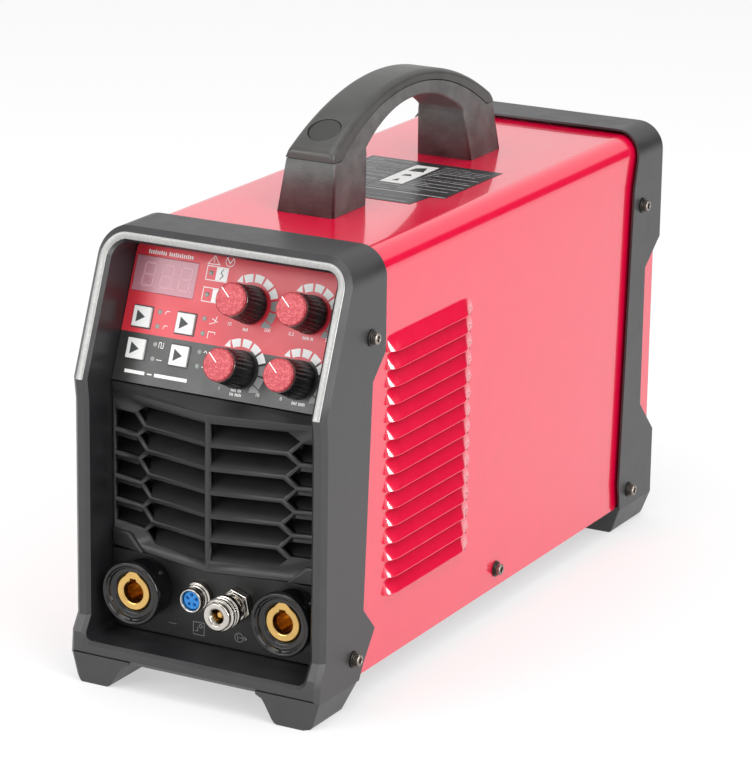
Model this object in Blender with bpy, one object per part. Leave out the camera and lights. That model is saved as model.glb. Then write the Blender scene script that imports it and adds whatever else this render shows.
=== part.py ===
"""TIG welder: a red sheet-metal cover between two black moulded frames, with a carrying handle.

Lengths are in millimetres and become metres in add_object(). In the assembly x runs to the
right, y runs back from the front face, and z runs up from the floor. The assembly empty
moves the origin to the middle of the footprint.
"""

import math
from functools import partial

import bmesh
import bpy
from mathutils import Matrix, Vector

MM = 0.001

# Driving dimensions
HALF_WIDTH = 90.5
HEIGHT = 290.0
FRONT_Y = -7.0
REAR_Y = 483.4
FRAME_STEP = 4.0
FACE_CHAMFER = 4.0
FRAME_CORNER = 19.0
RECESS_INSET = 10.5
GAP = 0.3
FRAME_WALL = FRAME_STEP - GAP

SHEET = 1.2
COVER_HALF = HALF_WIDTH - FRAME_STEP
COVER_TOP = HEIGHT - FRAME_STEP
COVER_BOTTOM = 17.5
COVER_CORNER = FRAME_CORNER - FRAME_STEP
COVER_FRONT = 46.0
COVER_REAR = 480.0

LOUVRES = 15
LOUVRE_TOP = 225.5
LOUVRE_PITCH = 11.7
LOUVRE_FRONT = 83.0
LOUVRE_LENGTH = 111.0

# Side screws, as (y, z), the same on both sides
FRONT_SCREWS = ((56.6, 237.0), (39.1, 33.5))
REAR_SCREWS = ((450.9, 237.0), (444.4, 29.0))
COVER_SCREW = (241.5, 30.4)
SCREW_HOLE = 2.6
SCREW_SHANK = 2.2

# The control panel. Places on it are (across, up) from the foot of its slope.
PANEL_TILT = math.radians(21.4)
PANEL_Y = 31.0
PANEL_Z = 198.0
PANEL_HALF = 79.6
PANEL_LOW = -7.0
PANEL_HIGH = 86.5
FASCIA = 2.0
KNOB_PLACES = {
    "amps": (8.5, 52.8),
    "pulse": (51.0, 52.8),
    "gas": (8.5, 12.2),
    "slope": (51.0, 12.2),
}
KNOB_HEIGHT = 26.6
KNOB_BASE_RADIUS = 12.2
KNOB_TOP_RADIUS = 11.3
SHAFT_RADIUS = 3.0
BUTTON_PLACES = {
    "mode": (-66.0, 34.8),
    "trigger": (-34.3, 34.8),
    "current": (-66.0, 14.4),
    "pulse_type": (-34.3, 14.4),
}
BUTTON_SIZE = 13.0
BUTTON_STEM = 8.2
BUTTON_TRAVEL = 0.8
DISPLAY = (-78.3, 50.5, -32.9, 73.4)

TRIM_LOW = 198.0
TRIM_OUTER = 4.2
TRIM_INNER = 8.0
TRIM_DEPTH = 0.8

GRILLE_TOP = 184.6
GRILLE_BOTTOM = 82.5
GRILLE_RIB_Y = 12.5
GRILLE_SWEEP = 0.21
GRILLE_ROWS = 6
GRILLE_PITCH = 15.4
GRILLE_BAR = 2.8

PLATE_Y = 28.5
SOCKET_X = 54.5
SOCKET_Z = 58.7
SOCKET_FACE = 8.5
TORCH_X = -15.2
GAS_X = 13.5
GAS_FACE = 0.8
COUPLER_START = 3.0
COUPLER_LENGTH = 11.4
COUPLER_TRAVEL = 4.0

HANDLE_FRONT = 131.0
HANDLE_REAR = 365.0
HANDLE_HALF = 20.7
HANDLE_TAPER = 0.085
HANDLE_SEAM = 319.7
HANDLE_TOP = 361.0

REAR_PANEL_Y = 463.0
REAR_PANEL = 1.5
FAN_Z = 138.0
FAN_RADIUS = 56.0
FAN_HALF = 60.0
FAN_DEPTH = 25.0
SWITCH_X = 42.0
SWITCH_Z = 243.0
ROCKER_TILT = math.radians(12.0)
GLAND_X = -42.0
INLET_Z = 48.0
CABLE_RADIUS = 6.0
CABLE_BEND = 34.0
CABLE_STRAIGHT = 17.0
CABLE_DROP = 130.0
CABLE_REAR = REAR_PANEL_Y + REAR_PANEL + GAP + CABLE_STRAIGHT + CABLE_BEND + CABLE_RADIUS

PAN_LOW = 22.0
PAN_FLANGE = 46.0


# Helpers

def material(name, colour, roughness, metallic=0.0):
    made = bpy.data.materials.new(name)
    made.use_nodes = True
    shader = made.node_tree.nodes["Principled BSDF"]
    shader.inputs["Base Color"].default_value = (*colour, 1.0)
    shader.inputs["Roughness"].default_value = roughness
    shader.inputs["Metallic"].default_value = metallic
    made.diffuse_color = (*colour, 1.0)
    return made


def add_object(name, mesh, finish):
    """A mesh in millimetres becomes an object of the assembly, in metres."""
    bmesh.ops.recalc_face_normals(mesh, faces=mesh.faces)
    bmesh.ops.scale(mesh, vec=(MM, MM, MM), verts=mesh.verts)
    data = bpy.data.meshes.new(name)
    mesh.to_mesh(data)
    mesh.free()
    made = bpy.data.objects.new(name, data)
    bpy.context.scene.collection.objects.link(made)
    data.materials.append(finish)
    data.shade_smooth()
    data.set_sharp_from_angle(angle=math.radians(32))
    made.parent = assembly
    return made


def place(piece, pivot, turn=None):
    """Puts the object's origin at pivot, a point of the assembly, keeping its mesh about that origin."""
    piece.location = Vector(pivot) * MM
    if turn is not None:
        piece.rotation_euler = turn.to_euler()
    return piece


def combine(target, tool, operation):
    """Applies one Boolean to target and removes the tool."""
    modifier = target.modifiers.new(operation.title(), "BOOLEAN")
    modifier.operation = operation
    modifier.object = tool
    bpy.context.view_layer.update()
    graph = bpy.context.evaluated_depsgraph_get()
    data = bpy.data.meshes.new_from_object(target.evaluated_get(graph))
    target.modifiers.clear()
    target.data = data
    data.name = target.name
    bpy.data.objects.remove(tool)


def cut(target, mesh):
    combine(target, add_object("cutter", mesh, black_plastic), "DIFFERENCE")


def join(target, mesh):
    combine(target, add_object("addition", mesh, black_plastic), "UNION")


def cuboid(low, high, mesh=None):
    mesh = mesh or bmesh.new()
    size = [b - a for a, b in zip(low, high)]
    middle = [(a + b) / 2 for a, b in zip(low, high)]
    matrix = Matrix.Translation(middle) @ Matrix.Diagonal((*size, 1.0))
    bmesh.ops.create_cube(mesh, size=1.0, matrix=matrix)
    return mesh


def prism(outline, start, end, axis="x", mesh=None):
    """A flat outline pushed along an axis. The outline is (y, z) for x, (x, z) for y, (x, y) for z."""
    mesh = mesh or bmesh.new()

    def point(pair, along):
        a, b = pair
        return {"x": (along, a, b), "y": (a, along, b), "z": (a, b, along)}[axis]

    low = [mesh.verts.new(point(pair, start)) for pair in outline]
    high = [mesh.verts.new(point(pair, end)) for pair in outline]
    mesh.faces.new(low)
    mesh.faces.new(high[::-1])
    for i in range(len(outline)):
        j = (i + 1) % len(outline)
        mesh.faces.new((low[i], low[j], high[j], high[i]))
    return mesh


def loft(rings, closed_ends=True, mesh=None):
    """Skins a row of rings that have the same number of points."""
    mesh = mesh or bmesh.new()
    made = [[mesh.verts.new(p) for p in ring] for ring in rings]
    count = len(made[0])
    pairs = list(zip(made, made[1:]))
    if not closed_ends:
        pairs.append((made[-1], made[0]))
    for first, second in pairs:
        for i in range(count):
            j = (i + 1) % count
            mesh.faces.new((first[i], first[j], second[j], second[i]))
    if closed_ends:
        mesh.faces.new(made[0])
        mesh.faces.new(made[-1][::-1])
    return mesh


def turned(profile, segments, mesh=None, turn=0.0):
    """Turns (radius, distance) pairs about the local z axis. A radius of 0 ends the solid on the axis."""
    mesh = mesh or bmesh.new()
    rings = []
    for radius, distance in profile:
        if radius == 0:
            rings.append([mesh.verts.new((0, 0, distance))])
            continue
        angles = [turn + 2 * math.pi * i / segments for i in range(segments)]
        rings.append(
            [mesh.verts.new((radius * math.cos(a), radius * math.sin(a), distance)) for a in angles]
        )
    on_axis = len(rings[0]) == 1
    pairs = list(zip(rings, rings[1:]))
    if not on_axis:
        pairs.append((rings[-1], rings[0]))
    for first, second in pairs:
        for i in range(segments):
            j = (i + 1) % segments
            a, b = len(first), len(second)
            corners = [first[i % a], first[j % a], second[j % b], second[i % b]]
            mesh.faces.new(list(dict.fromkeys(corners)))
    return mesh


def aim(mesh, direction, origin):
    """Turns a mesh made about local z so that local z points along direction from origin."""
    turn = Vector(direction).to_track_quat("Z", "Y").to_matrix().to_4x4()
    bmesh.ops.transform(mesh, matrix=Matrix.Translation(origin) @ turn, verts=mesh.verts)
    return mesh


def rod(radius, origin, direction, length, segments=16):
    return aim(turned([(0, 0), (radius, 0), (radius, length), (0, length)], segments), direction, origin)


def interpolate(table, at):
    """Reads a broken line given as (position, value) pairs."""
    for (a, first), (b, second) in zip(table, table[1:]):
        if at <= b:
            share = max(0.0, (at - a) / (b - a))
            return first + share * (second - first)
    return table[-1][1]


def arc(centre, radius, start, end, steps):
    """Points of an arc, in degrees."""
    angles = [math.radians(start + (end - start) * i / steps) for i in range(steps + 1)]
    return [(centre[0] + radius * math.cos(a), centre[1] + radius * math.sin(a)) for a in angles]


def rounded_panel(half, low, high, low_radius, high_radius, steps=3):
    """A rectangle's outline, its two lower and two upper corners rounded. A radius of 0 keeps a corner square."""
    outline = []
    corners = ((1, low, low_radius, 270), (1, high, high_radius, 0), (-1, high, high_radius, 90),
               (-1, low, low_radius, 180))
    for side, edge, radius, start in corners:
        centre = (side * (half - radius), edge + (radius if edge == low else -radius))
        if radius == 0:
            outline.append(centre)
        else:
            outline += arc(centre, radius, start, start + 90, steps)
    return outline


# The frames

FRAME_FOOT = 17.0
FOOT_CORNER = 15.5
FOOT_INSET = 0.1
RECESS_X = HALF_WIDTH - RECESS_INSET
FACE_Y = [(0, FRONT_Y), (18, -6.5), (33, -5.0), (42, 1.0), (184, 1.0), (198, -1.0), (HEIGHT, 35.0)]
SKIRT_Y = [(3, 34.5), (46, 66.0), (62, 51.0), (208, 59.0), (224, 75.0), (HEIGHT, 75.0)]
TUNNEL_Y = [(186, 47.5), (202, 73.0), (HEIGHT, 73.0)]
REAR_EDGE_Y = [(0, 428.0), (20, 430.5), (35, 427.5), (251, 437.0), (HEIGHT, 447.0)]
FRONT_LEVELS = [42, 46, 62, 184, 198, 208, 224]
REAR_LEVELS = [35, 251]
LOWER_STEPS = 4
UPPER_STEPS = 5


def lower_corner(side, angle, inset):
    """A frame's lower corner: square outside, where the foot joins it, and round inside."""
    radians = math.radians(angle)
    across, down = math.cos(radians), math.sin(radians)
    reach = FOOT_CORNER - inset
    if inset <= FACE_CHAMFER:
        reach /= max(abs(across), abs(down))
    centre_x = side * (HALF_WIDTH - FOOT_CORNER)
    return centre_x + reach * across, FRAME_FOOT + FOOT_CORNER + reach * down


def upper_corner(side, angle, inset):
    radians = math.radians(angle)
    reach = FRAME_CORNER - inset
    centre_x = side * (HALF_WIDTH - FRAME_CORNER)
    return centre_x + reach * math.cos(radians), HEIGHT - FRAME_CORNER + reach * math.sin(radians)


def straight_side(side, level, inset):
    return side * (HALF_WIDTH - inset), level


def frame_outline(levels):
    """Points round a frame's front view, each a function that gives (x, z) for an inset."""
    outline = []
    for step in range(LOWER_STEPS + 1):
        outline.append(partial(lower_corner, 1, 270 + 90 * step / LOWER_STEPS))
    outline += [partial(straight_side, 1, level) for level in levels]
    for side, start in ((1, 0), (-1, 90)):
        for step in range(UPPER_STEPS + 1):
            outline.append(partial(upper_corner, side, start + 90 * step / UPPER_STEPS))
    outline += [partial(straight_side, -1, level) for level in reversed(levels)]
    for step in range(LOWER_STEPS + 1):
        outline.append(partial(lower_corner, -1, 180 + 90 * step / LOWER_STEPS))
    return outline


def framed_ring(section, levels):
    """Sweeps a section, given as (inset, depth as a function of height), round the frame outline."""
    rings = []
    for point in frame_outline(levels):
        height = point(0.0)[1]
        ring = []
        for inset, depth in section:
            x, z = point(inset)
            ring.append((x, depth(height), z))
        rings.append(ring)
    return loft(rings, closed_ends=False)


def foot(side, front, rear, front_chamfer):
    """One foot under a frame: its inner side slopes out to the floor, its outer side tapers in."""
    inner = [(0, 62.0), (1, 60.0), (3, 58.3), (12, 53.0), (15, 50.8), (17, 46.5), (19, 46.0)]
    outer = [(0, 84.0), (1.5, 85.6), (18, HALF_WIDTH - FOOT_INSET)]
    rings = []
    for z, inner_x in inner:
        outer_x = interpolate(outer, z)
        y_front, y_rear = front(z) + FOOT_INSET, rear(z)
        corners = [
            (inner_x, y_front),
            (outer_x - front_chamfer, y_front),
            (outer_x, y_front + front_chamfer),
            (outer_x, y_rear),
            (inner_x, y_rear),
        ]
        rings.append([(side * x, y, z) for x, y in corners])
    return loft(rings)


def front_face(z):
    return interpolate(FACE_Y, z)


def front_skirt(z):
    return interpolate(SKIRT_Y, z)


def build_front_frame():
    tunnel_outer = FRAME_STEP + SHEET + GAP
    slot_front = COVER_FRONT - GAP
    ring = framed_ring([
        (0.0, lambda z: front_face(z) + FACE_CHAMFER),
        (FACE_CHAMFER, front_face),
        (RECESS_INSET - 2.3, front_face),
        (RECESS_INSET, lambda z: front_face(z) + 2.3),
        (RECESS_INSET, lambda z: interpolate(TUNNEL_Y, z)),
        (tunnel_outer, lambda z: interpolate(TUNNEL_Y, z)),
        (tunnel_outer, lambda z: slot_front),
        (FRAME_WALL, lambda z: slot_front),
        (FRAME_WALL, lambda z: max(slot_front + 0.8, front_skirt(z))),
        (0.0, lambda z: max(slot_front + 0.8, front_skirt(z))),
    ], FRONT_LEVELS)
    frame = add_object("front_frame", ring, black_plastic)
    for side in (-1, 1):
        join(frame, foot(side, front_face, front_skirt, FACE_CHAMFER))
    cover_space = cuboid(
        (-COVER_HALF - GAP, slot_front, COVER_BOTTOM - GAP),
        (COVER_HALF + GAP, 100.0, 60.0),
    )
    cut(frame, cover_space)
    for side in (-1, 1):
        for y, z in FRONT_SCREWS:
            cut(frame, rod(SCREW_HOLE, (side * 72, y, z), (side, 0, 0), 25, 12))
    return frame


def build_front_trim():
    """The bright strip on the upper face: an inverted U that ends at the bend of the face."""
    rings = []
    for point in frame_outline(FRONT_LEVELS):
        height = point(0.0)[1]
        if height < TRIM_LOW:
            continue
        back = front_face(height) - GAP
        ring = []
        for inset, y in ((TRIM_OUTER, back - TRIM_DEPTH), (TRIM_INNER, back - TRIM_DEPTH),
                         (TRIM_INNER, back), (TRIM_OUTER, back)):
            x, z = point(inset)
            ring.append((x, y, z))
        rings.append(ring)
    add_object("front_trim", loft(rings), silver_trim)


def rear_front_edge(z):
    return interpolate(REAR_EDGE_Y, z)


def rear_foot_rear(z):
    return interpolate([(0, 478.0), (16, REAR_Y - 0.4), (40, REAR_Y - 0.4)], z)


def build_rear_frame():
    tunnel_outer = FRAME_STEP + SHEET + GAP
    lip = COVER_REAR + GAP
    rear_ring = REAR_PANEL_Y - 6.0
    ring = framed_ring([
        (0.0, rear_front_edge),
        (0.0, lambda z: REAR_Y - 1.2),
        (1.2, lambda z: REAR_Y),
        (RECESS_INSET - 1.2, lambda z: REAR_Y),
        (RECESS_INSET, lambda z: REAR_Y - 1.2),
        (RECESS_INSET, lambda z: rear_ring),
        (tunnel_outer, lambda z: rear_ring),
        (tunnel_outer, lambda z: lip),
        (FRAME_WALL, lambda z: lip),
        (FRAME_WALL, rear_front_edge),
    ], REAR_LEVELS)
    frame = add_object("rear_frame", ring, black_plastic)
    for side in (-1, 1):
        join(frame, foot(side, rear_front_edge, rear_foot_rear, 0.6))
    cut(frame, cuboid(
        (-COVER_HALF - GAP, 400.0, COVER_BOTTOM - GAP),
        (COVER_HALF + GAP, rear_ring - 1.0, 60.0),
    ))
    notch = [(REAR_Y + 5, 58.5), (459.0, 89.0), (459.0, 190.0), (REAR_Y + 5, 213.2)]
    for side in (-1, 1):
        inner, outer = side * (COVER_HALF - SHEET - GAP), side * (COVER_HALF + GAP)
        cut(frame, cuboid((min(inner, outer), rear_ring - 3.0, COVER_BOTTOM - GAP), (max(inner, outer), lip, 60.0)))
        beyond = side * 95.0
        cut(frame, prism(notch, min(inner, beyond), max(inner, beyond), "x"))
        for y, z in REAR_SCREWS:
            cut(frame, rod(SCREW_HOLE, (side * 72, y, z), (side, 0, 0), 25, 12))
    return frame


# Sheet metal

def cover_outline(inset):
    """The cover's cross-section edge, from the right foot of the U over the top to the left."""
    half, top, radius = COVER_HALF - inset, COVER_TOP - inset, COVER_CORNER - inset
    right = arc((half - radius, top - radius), radius, 0, 90, 5)
    left = arc((-half + radius, top - radius), radius, 90, 180, 5)
    return [(half, COVER_BOTTOM), *right, *left, (-half, COVER_BOTTOM)]


def build_cover():
    """The red wrap-round sheet, with a column of pressed louvres on each side."""
    sheet = prism(cover_outline(0) + cover_outline(SHEET)[::-1], COVER_FRONT, COVER_REAR, "y")
    cover = add_object("cover_shell", sheet, red_paint)
    slots = bmesh.new()
    for side in (-1, 1):
        for row in range(LOUVRES):
            z_top = LOUVRE_TOP - row * LOUVRE_PITCH
            xs = sorted((side * (COVER_HALF - 3), side * (COVER_HALF + 3)))
            cuboid((xs[0], LOUVRE_FRONT + 1.0, z_top - 7.6),
                   (xs[1], LOUVRE_FRONT + LOUVRE_LENGTH - 1.0, z_top - 2.0), slots)
    cut(cover, slots)
    for side in (-1, 1):
        for row in range(LOUVRES):
            hood = bmesh.new()
            y0, y1 = LOUVRE_FRONT, LOUVRE_FRONT + LOUVRE_LENGTH
            z_top = LOUVRE_TOP - row * LOUVRE_PITCH
            out = COVER_HALF + 3.6
            outer = [(COVER_HALF - 0.7, z_top), (COVER_HALF - 0.1, z_top), (out, z_top - 6.4),
                     (out, z_top - 8.2), (COVER_HALF - 0.7, z_top - 8.2)]
            prism([(side * x, z) for x, z in outer], y0, y1, "y", hood)
            join(cover, hood)
            hollow = [(COVER_HALF - 4, z_top - 1.8), (COVER_HALF - 0.6, z_top - 1.8), (out - 0.9, z_top - 6.7),
                      (out - 0.9, z_top - 9.5), (COVER_HALF + 0.15, z_top - 9.5),
                      (COVER_HALF + 0.15, z_top - 7.6), (COVER_HALF - 4, z_top - 7.6)]
            cut(cover, prism([(side * x, z) for x, z in hollow], y0 + 1.0, y1 - 1.0, "y"))
    for side in (-1, 1):
        for y, z in (*FRONT_SCREWS, *REAR_SCREWS, COVER_SCREW):
            cut(cover, rod(SCREW_HOLE, (side * 70, y, z), (side, 0, 0), 30, 10))
    return cover


def build_base_pan():
    """The floor of the case: a tray whose flanges stand inside the cover."""
    half = COVER_HALF - SHEET - GAP
    inner, floor = half - SHEET, PAN_LOW + SHEET
    outline = [(half, PAN_LOW), (half, PAN_FLANGE), (inner, PAN_FLANGE), (inner, floor), (-inner, floor),
               (-inner, PAN_FLANGE), (-half, PAN_FLANGE), (-half, PAN_LOW)]
    pan = add_object("base_pan", prism(outline, 49.0, 455.0, "y"), zinc)
    slots = bmesh.new()
    for x in (-45, -15, 15, 45):
        for y in (110, 150):
            cuboid((x - 11, y, PAN_LOW - 2), (x + 11, y + 6, floor + 2), slots)
    cut(pan, slots)
    for side in (-1, 1):
        for y, z in (REAR_SCREWS[1], COVER_SCREW):
            cut(pan, rod(SCREW_HOLE, (side * 70, y, z), (side, 0, 0), 30, 10))
    return pan


def build_screw(name, side, y, z, seat_x):
    """A pan-head screw with a hexagon socket and a washer, its head standing on the side wall."""
    head = turned([(0, -9.0), (SCREW_SHANK, -9.0), (SCREW_SHANK, GAP), (5.0, GAP), (5.0, 1.3), (4.2, 1.3), (4.2, 3.9),
                   (0, 3.9)], 8)
    screw = add_object(name, aim(head, (side, 0, 0), (side * seat_x, y, z)), black_steel)
    socket = turned([(0, 1.6), (1.9, 1.6), (1.9, 6.0), (0, 6.0)], 6)
    cut(screw, aim(socket, (side, 0, 0), (side * seat_x, y, z)))
    return screw


def build_screws():
    for side, label in ((-1, "left"), (1, "right")):
        for row, (y, z) in zip(("top", "bottom"), FRONT_SCREWS):
            build_screw(f"front_screw_{label}_{row}", side, y, z, HALF_WIDTH)
        for row, (y, z) in zip(("top", "bottom"), REAR_SCREWS):
            build_screw(f"rear_screw_{label}_{row}", side, y, z, HALF_WIDTH)
        build_screw(f"cover_screw_{label}", side, *COVER_SCREW, COVER_HALF)


# The front: grille, connector plate and controls

def grille_face(x):
    return GRILLE_RIB_Y + GRILLE_SWEEP * abs(x)


def grille_opening(side, row):
    """Outline (x, z) of one long opening: square at the centre rib, pointed at its outer end."""
    top = GRILLE_TOP - 5.2 - row * GRILLE_PITCH
    bottom = top - GRILLE_PITCH + GRILLE_BAR
    waist = 51.4 - 1.5 * row
    point = waist + 7.6
    middle = (top + bottom) / 2 + 1.0
    outline = [(1.6, bottom), (waist, bottom), (point, middle), (waist, top), (1.6, top)]
    return [(side * x, z) for x, z in outline]


def grille_end_opening(side, row):
    """Outline (x, z) of one short opening between the zigzag and the side wall."""
    top = GRILLE_TOP - 5.2 - row * GRILLE_PITCH
    bottom = top - GRILLE_PITCH + GRILLE_BAR
    middle = (top + bottom) / 2 + 1.0
    wall = 1.5
    waist = 51.4 - 1.5 * row + wall
    point = waist + 7.6
    high, low = middle - GRILLE_BAR / 2, middle - GRILLE_PITCH + GRILLE_BAR / 2
    junction = bottom - GRILLE_BAR / 2
    outline = [(76.0, low), (point - 1.5, low), (waist + 0.4, junction), (point, high), (76.0, high)]
    return [(side * x, z) for x, z in outline]


def grille_slat(side, z):
    """A slat that slopes up behind an opening, so that drips and fingers stay out."""
    rings = []
    for x in (1.0, 78.4):
        y = grille_face(x)
        section = [(y + 1.2, z - 1.1), (y + 1.2, z + 1.1), (y + 14.0, z + 9.4), (y + 14.0, z + 7.2)]
        rings.append([(side * x, yy, zz) for yy, zz in section])
    return loft(rings)


def build_grille():
    """The grille: a V in plan with a sloping ledge on top, rows of openings, and a slat behind each bar."""
    half = RECESS_X - GAP
    beyond = PLATE_Y + 20.0
    ledge_y, ledge_z = 26.6, 190.6
    rings = []
    for x in (-half, 0.0, half):
        y = grille_face(x)
        section = [(y, GRILLE_TOP), (y, GRILLE_BOTTOM), (y + 3.0, GRILLE_BOTTOM - 1.5),
                   (y + 6.0, GRILLE_BOTTOM - 1.5), (y + 6.0, GRILLE_TOP - 1.2),
                   (ledge_y + 8.0, ledge_z - 1.2), (ledge_y + 8.0, ledge_z), (ledge_y + 1.0, ledge_z)]
        rings.append([(x, yy, zz) for yy, zz in section])
    grille = add_object("front_grille", loft(rings), black_plastic)
    for side in (-1, 1):
        for row in range(GRILLE_ROWS):
            cut(grille, prism(grille_opening(side, row), 0.0, beyond, "y"))
            if row < GRILLE_ROWS - 1:
                cut(grille, prism(grille_end_opening(side, row), 0.0, beyond, "y"))
        for row in range(GRILLE_ROWS - 1):
            z = GRILLE_TOP - 5.2 - (row + 1) * GRILLE_PITCH + GRILLE_BAR / 2
            join(grille, grille_slat(side, z))
    return grille


def build_connector_plate():
    half = RECESS_X - GAP
    outline = rounded_panel(half, 28.0, 80.0, 5.5, 0)
    plate = add_object("connector_plate", prism(outline, PLATE_Y, PLATE_Y + 3.0, "y"), black_plastic)
    for x, radius in ((-SOCKET_X, 15.4), (SOCKET_X, 15.4), (TORCH_X, 7.2), (GAS_X, 6.4)):
        cut(plate, rod(radius, (x, PLATE_Y - 5, SOCKET_Z), (0, 1, 0), 20, 20))
    return plate


def build_sockets():
    for side, label in ((-1, "left"), (1, "right")):
        origin = (side * SOCKET_X, SOCKET_FACE, SOCKET_Z)
        shell = turned([(12.4, 30.0), (15.0, 30.0), (15.0, 19.6), (19.4, 19.6), (20.0, 5.0), (21.0, 3.4), (20.6, 0.8),
                        (18.4, 0.0), (17.0, 1.0), (15.8, 2.8), (12.4, 5.4)], 20)
        add_object(f"socket_shell_{label}", aim(shell, (0, 1, 0), origin), gloss_black)
        contact = turned([(0, 36.0), (6.7, 36.0), (6.7, 4.0), (12.0, 4.0), (12.0, 33.0), (9.0, 34.0), (9.0, 48.0),
                          (0, 48.0)], 16)
        piece = add_object(f"socket_contact_{label}", aim(contact, (0, 1, 0), origin), brass)
        keyway = cuboid((side * SOCKET_X - 2.4, SOCKET_FACE, SOCKET_Z),
                        (side * SOCKET_X + 2.4, SOCKET_FACE + 20.0, SOCKET_Z + 9.4))
        cut(piece, keyway)


def build_torch_connector():
    origin = (TORCH_X, 17.3, SOCKET_Z)
    shell = turned([(6.2, 22.0), (6.2, 0.6), (7.2, 0.0), (7.8, 0.4), (7.8, 6.6), (9.6, 7.4), (9.6, 10.9),
                    (6.9, 10.9), (6.9, 22.0)], 18)
    add_object("torch_connector_shell", aim(shell, (0, 1, 0), origin), nickel)
    plug = turned([(0, 2.0), (5.9, 2.0), (5.9, 20.0), (0, 20.0)], 20)
    insert = add_object("torch_connector_insert", aim(plug, (0, 1, 0), origin), blue_nylon)
    holes, hole_circle, hole_radius = 5, 3.4, 0.8
    for hole in range(holes):
        angle = math.pi / 2 + 2 * math.pi * hole / holes
        start = (TORCH_X + hole_circle * math.cos(angle), origin[1], SOCKET_Z + hole_circle * math.sin(angle))
        cut(insert, rod(hole_radius, start, (0, 1, 0), 9.0, 8))


def build_gas_outlet():
    """A gas coupler: a hollow body with a hexagon at the plate, and a sleeve that slides back on it."""
    origin = (GAS_X, GAS_FACE, SOCKET_Z)
    collar = COUPLER_START + COUPLER_LENGTH + COUPLER_TRAVEL + 1.0
    plate_face = PLATE_Y - GAS_FACE - GAP
    tail = 44.0
    body = turned([(3.8, 16.0), (3.8, 1.6), (6.0, 0.0), (8.6, 0.0), (9.3, 0.8), (9.3, 2.2), (7.0, 2.6),
                   (7.0, collar), (9.0, collar + 0.4), (9.0, plate_face), (6.1, plate_face), (6.1, tail),
                   (3.0, tail), (3.0, 16.0)], 20)
    piece = add_object("gas_outlet_body", aim(body, (0, 1, 0), origin), nickel)
    nut = turned([(6.5, plate_face - 5.8), (12.6, plate_face - 5.8), (12.6, plate_face), (6.5, plate_face)], 6,
                 turn=math.radians(18))
    join(piece, aim(nut, (0, 1, 0), origin))
    sleeve = turned([(7.3, 0.0), (10.0, 0.0), (11.0, 1.0), (11.0, 3.4), (10.2, 4.0), (10.2, 7.0), (11.0, 7.6),
                     (11.0, 10.8), (10.4, COUPLER_LENGTH), (7.3, COUPLER_LENGTH)], 16)
    coupler = add_object("gas_coupler_sleeve", aim(sleeve, (0, 1, 0), (0, 0, 0)), nickel)
    place(coupler, (GAS_X, GAS_FACE + COUPLER_START, SOCKET_Z))


def panel_turn():
    """Turns local z to the panel's outward normal and local y up the panel."""
    return Matrix.Rotation(math.pi / 2 - PANEL_TILT, 3, "X")


def panel_point(across, up, out=0.0):
    """A point of the assembly, from its place on the panel's front surface."""
    return Vector((0, PANEL_Y, PANEL_Z)) + panel_turn() @ Vector((across, up, out))


def on_panel(mesh, across=0.0, up=0.0, out=0.0):
    matrix = Matrix.Translation(panel_point(across, up, out)) @ panel_turn().to_4x4()
    bmesh.ops.transform(mesh, matrix=matrix, verts=mesh.verts)
    return mesh


def build_fascia():
    outline = rounded_panel(PANEL_HALF, PANEL_LOW, PANEL_HIGH, 0, 9.6)
    fascia = add_object("control_fascia", on_panel(prism(outline, -FASCIA, 0.0, "z")), fascia_red)
    for across, up in KNOB_PLACES.values():
        cut(fascia, on_panel(turned([(0, -6), (4.6, -6), (4.6, 6), (0, 6)], 16), across, up))
    half = BUTTON_SIZE / 2 + GAP
    for across, up in BUTTON_PLACES.values():
        cut(fascia, on_panel(cuboid((-half, -half, -6), (half, half, 6)), across, up))
    x0, s0, x1, s1 = DISPLAY
    cut(fascia, on_panel(cuboid((x0, s0, -6), (x1, s1, 6))))
    lens = cuboid((x0 + GAP, s0 + GAP, -FASCIA), (x1 - GAP, s1 - GAP, -0.15))
    add_object("display_lens", on_panel(lens), smoked_lens)


def build_control_board():
    """The board behind the fascia, with four potentiometers, four switches and the display's block."""
    face = -20.0
    thickness = 1.6
    root = face - 0.4
    board = add_object("control_board", on_panel(cuboid((-76, 2.0, face - thickness), (74, 77, face))), board_green)
    bore, neck, can = SHAFT_RADIUS + 0.4, SHAFT_RADIUS + 1.2, 8.0
    for across, up in KNOB_PLACES.values():
        pot = turned([(bore, -6.0), (neck, -6.0), (neck, -9.6), (can, -9.6), (can, root), (bore, root)], 12)
        join(board, on_panel(pot, across, up))
    switch_top = -(BUTTON_STEM + BUTTON_TRAVEL + 0.4)
    for across, up in BUTTON_PLACES.values():
        join(board, on_panel(cuboid((-3, -3, root), (3, 3, switch_top)), across, up))
    x0, s0, x1, s1 = DISPLAY
    join(board, on_panel(cuboid((x0 + 2, s0 + 2, root), (x1 - 2, s1 - 2, -4.0))))


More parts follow.
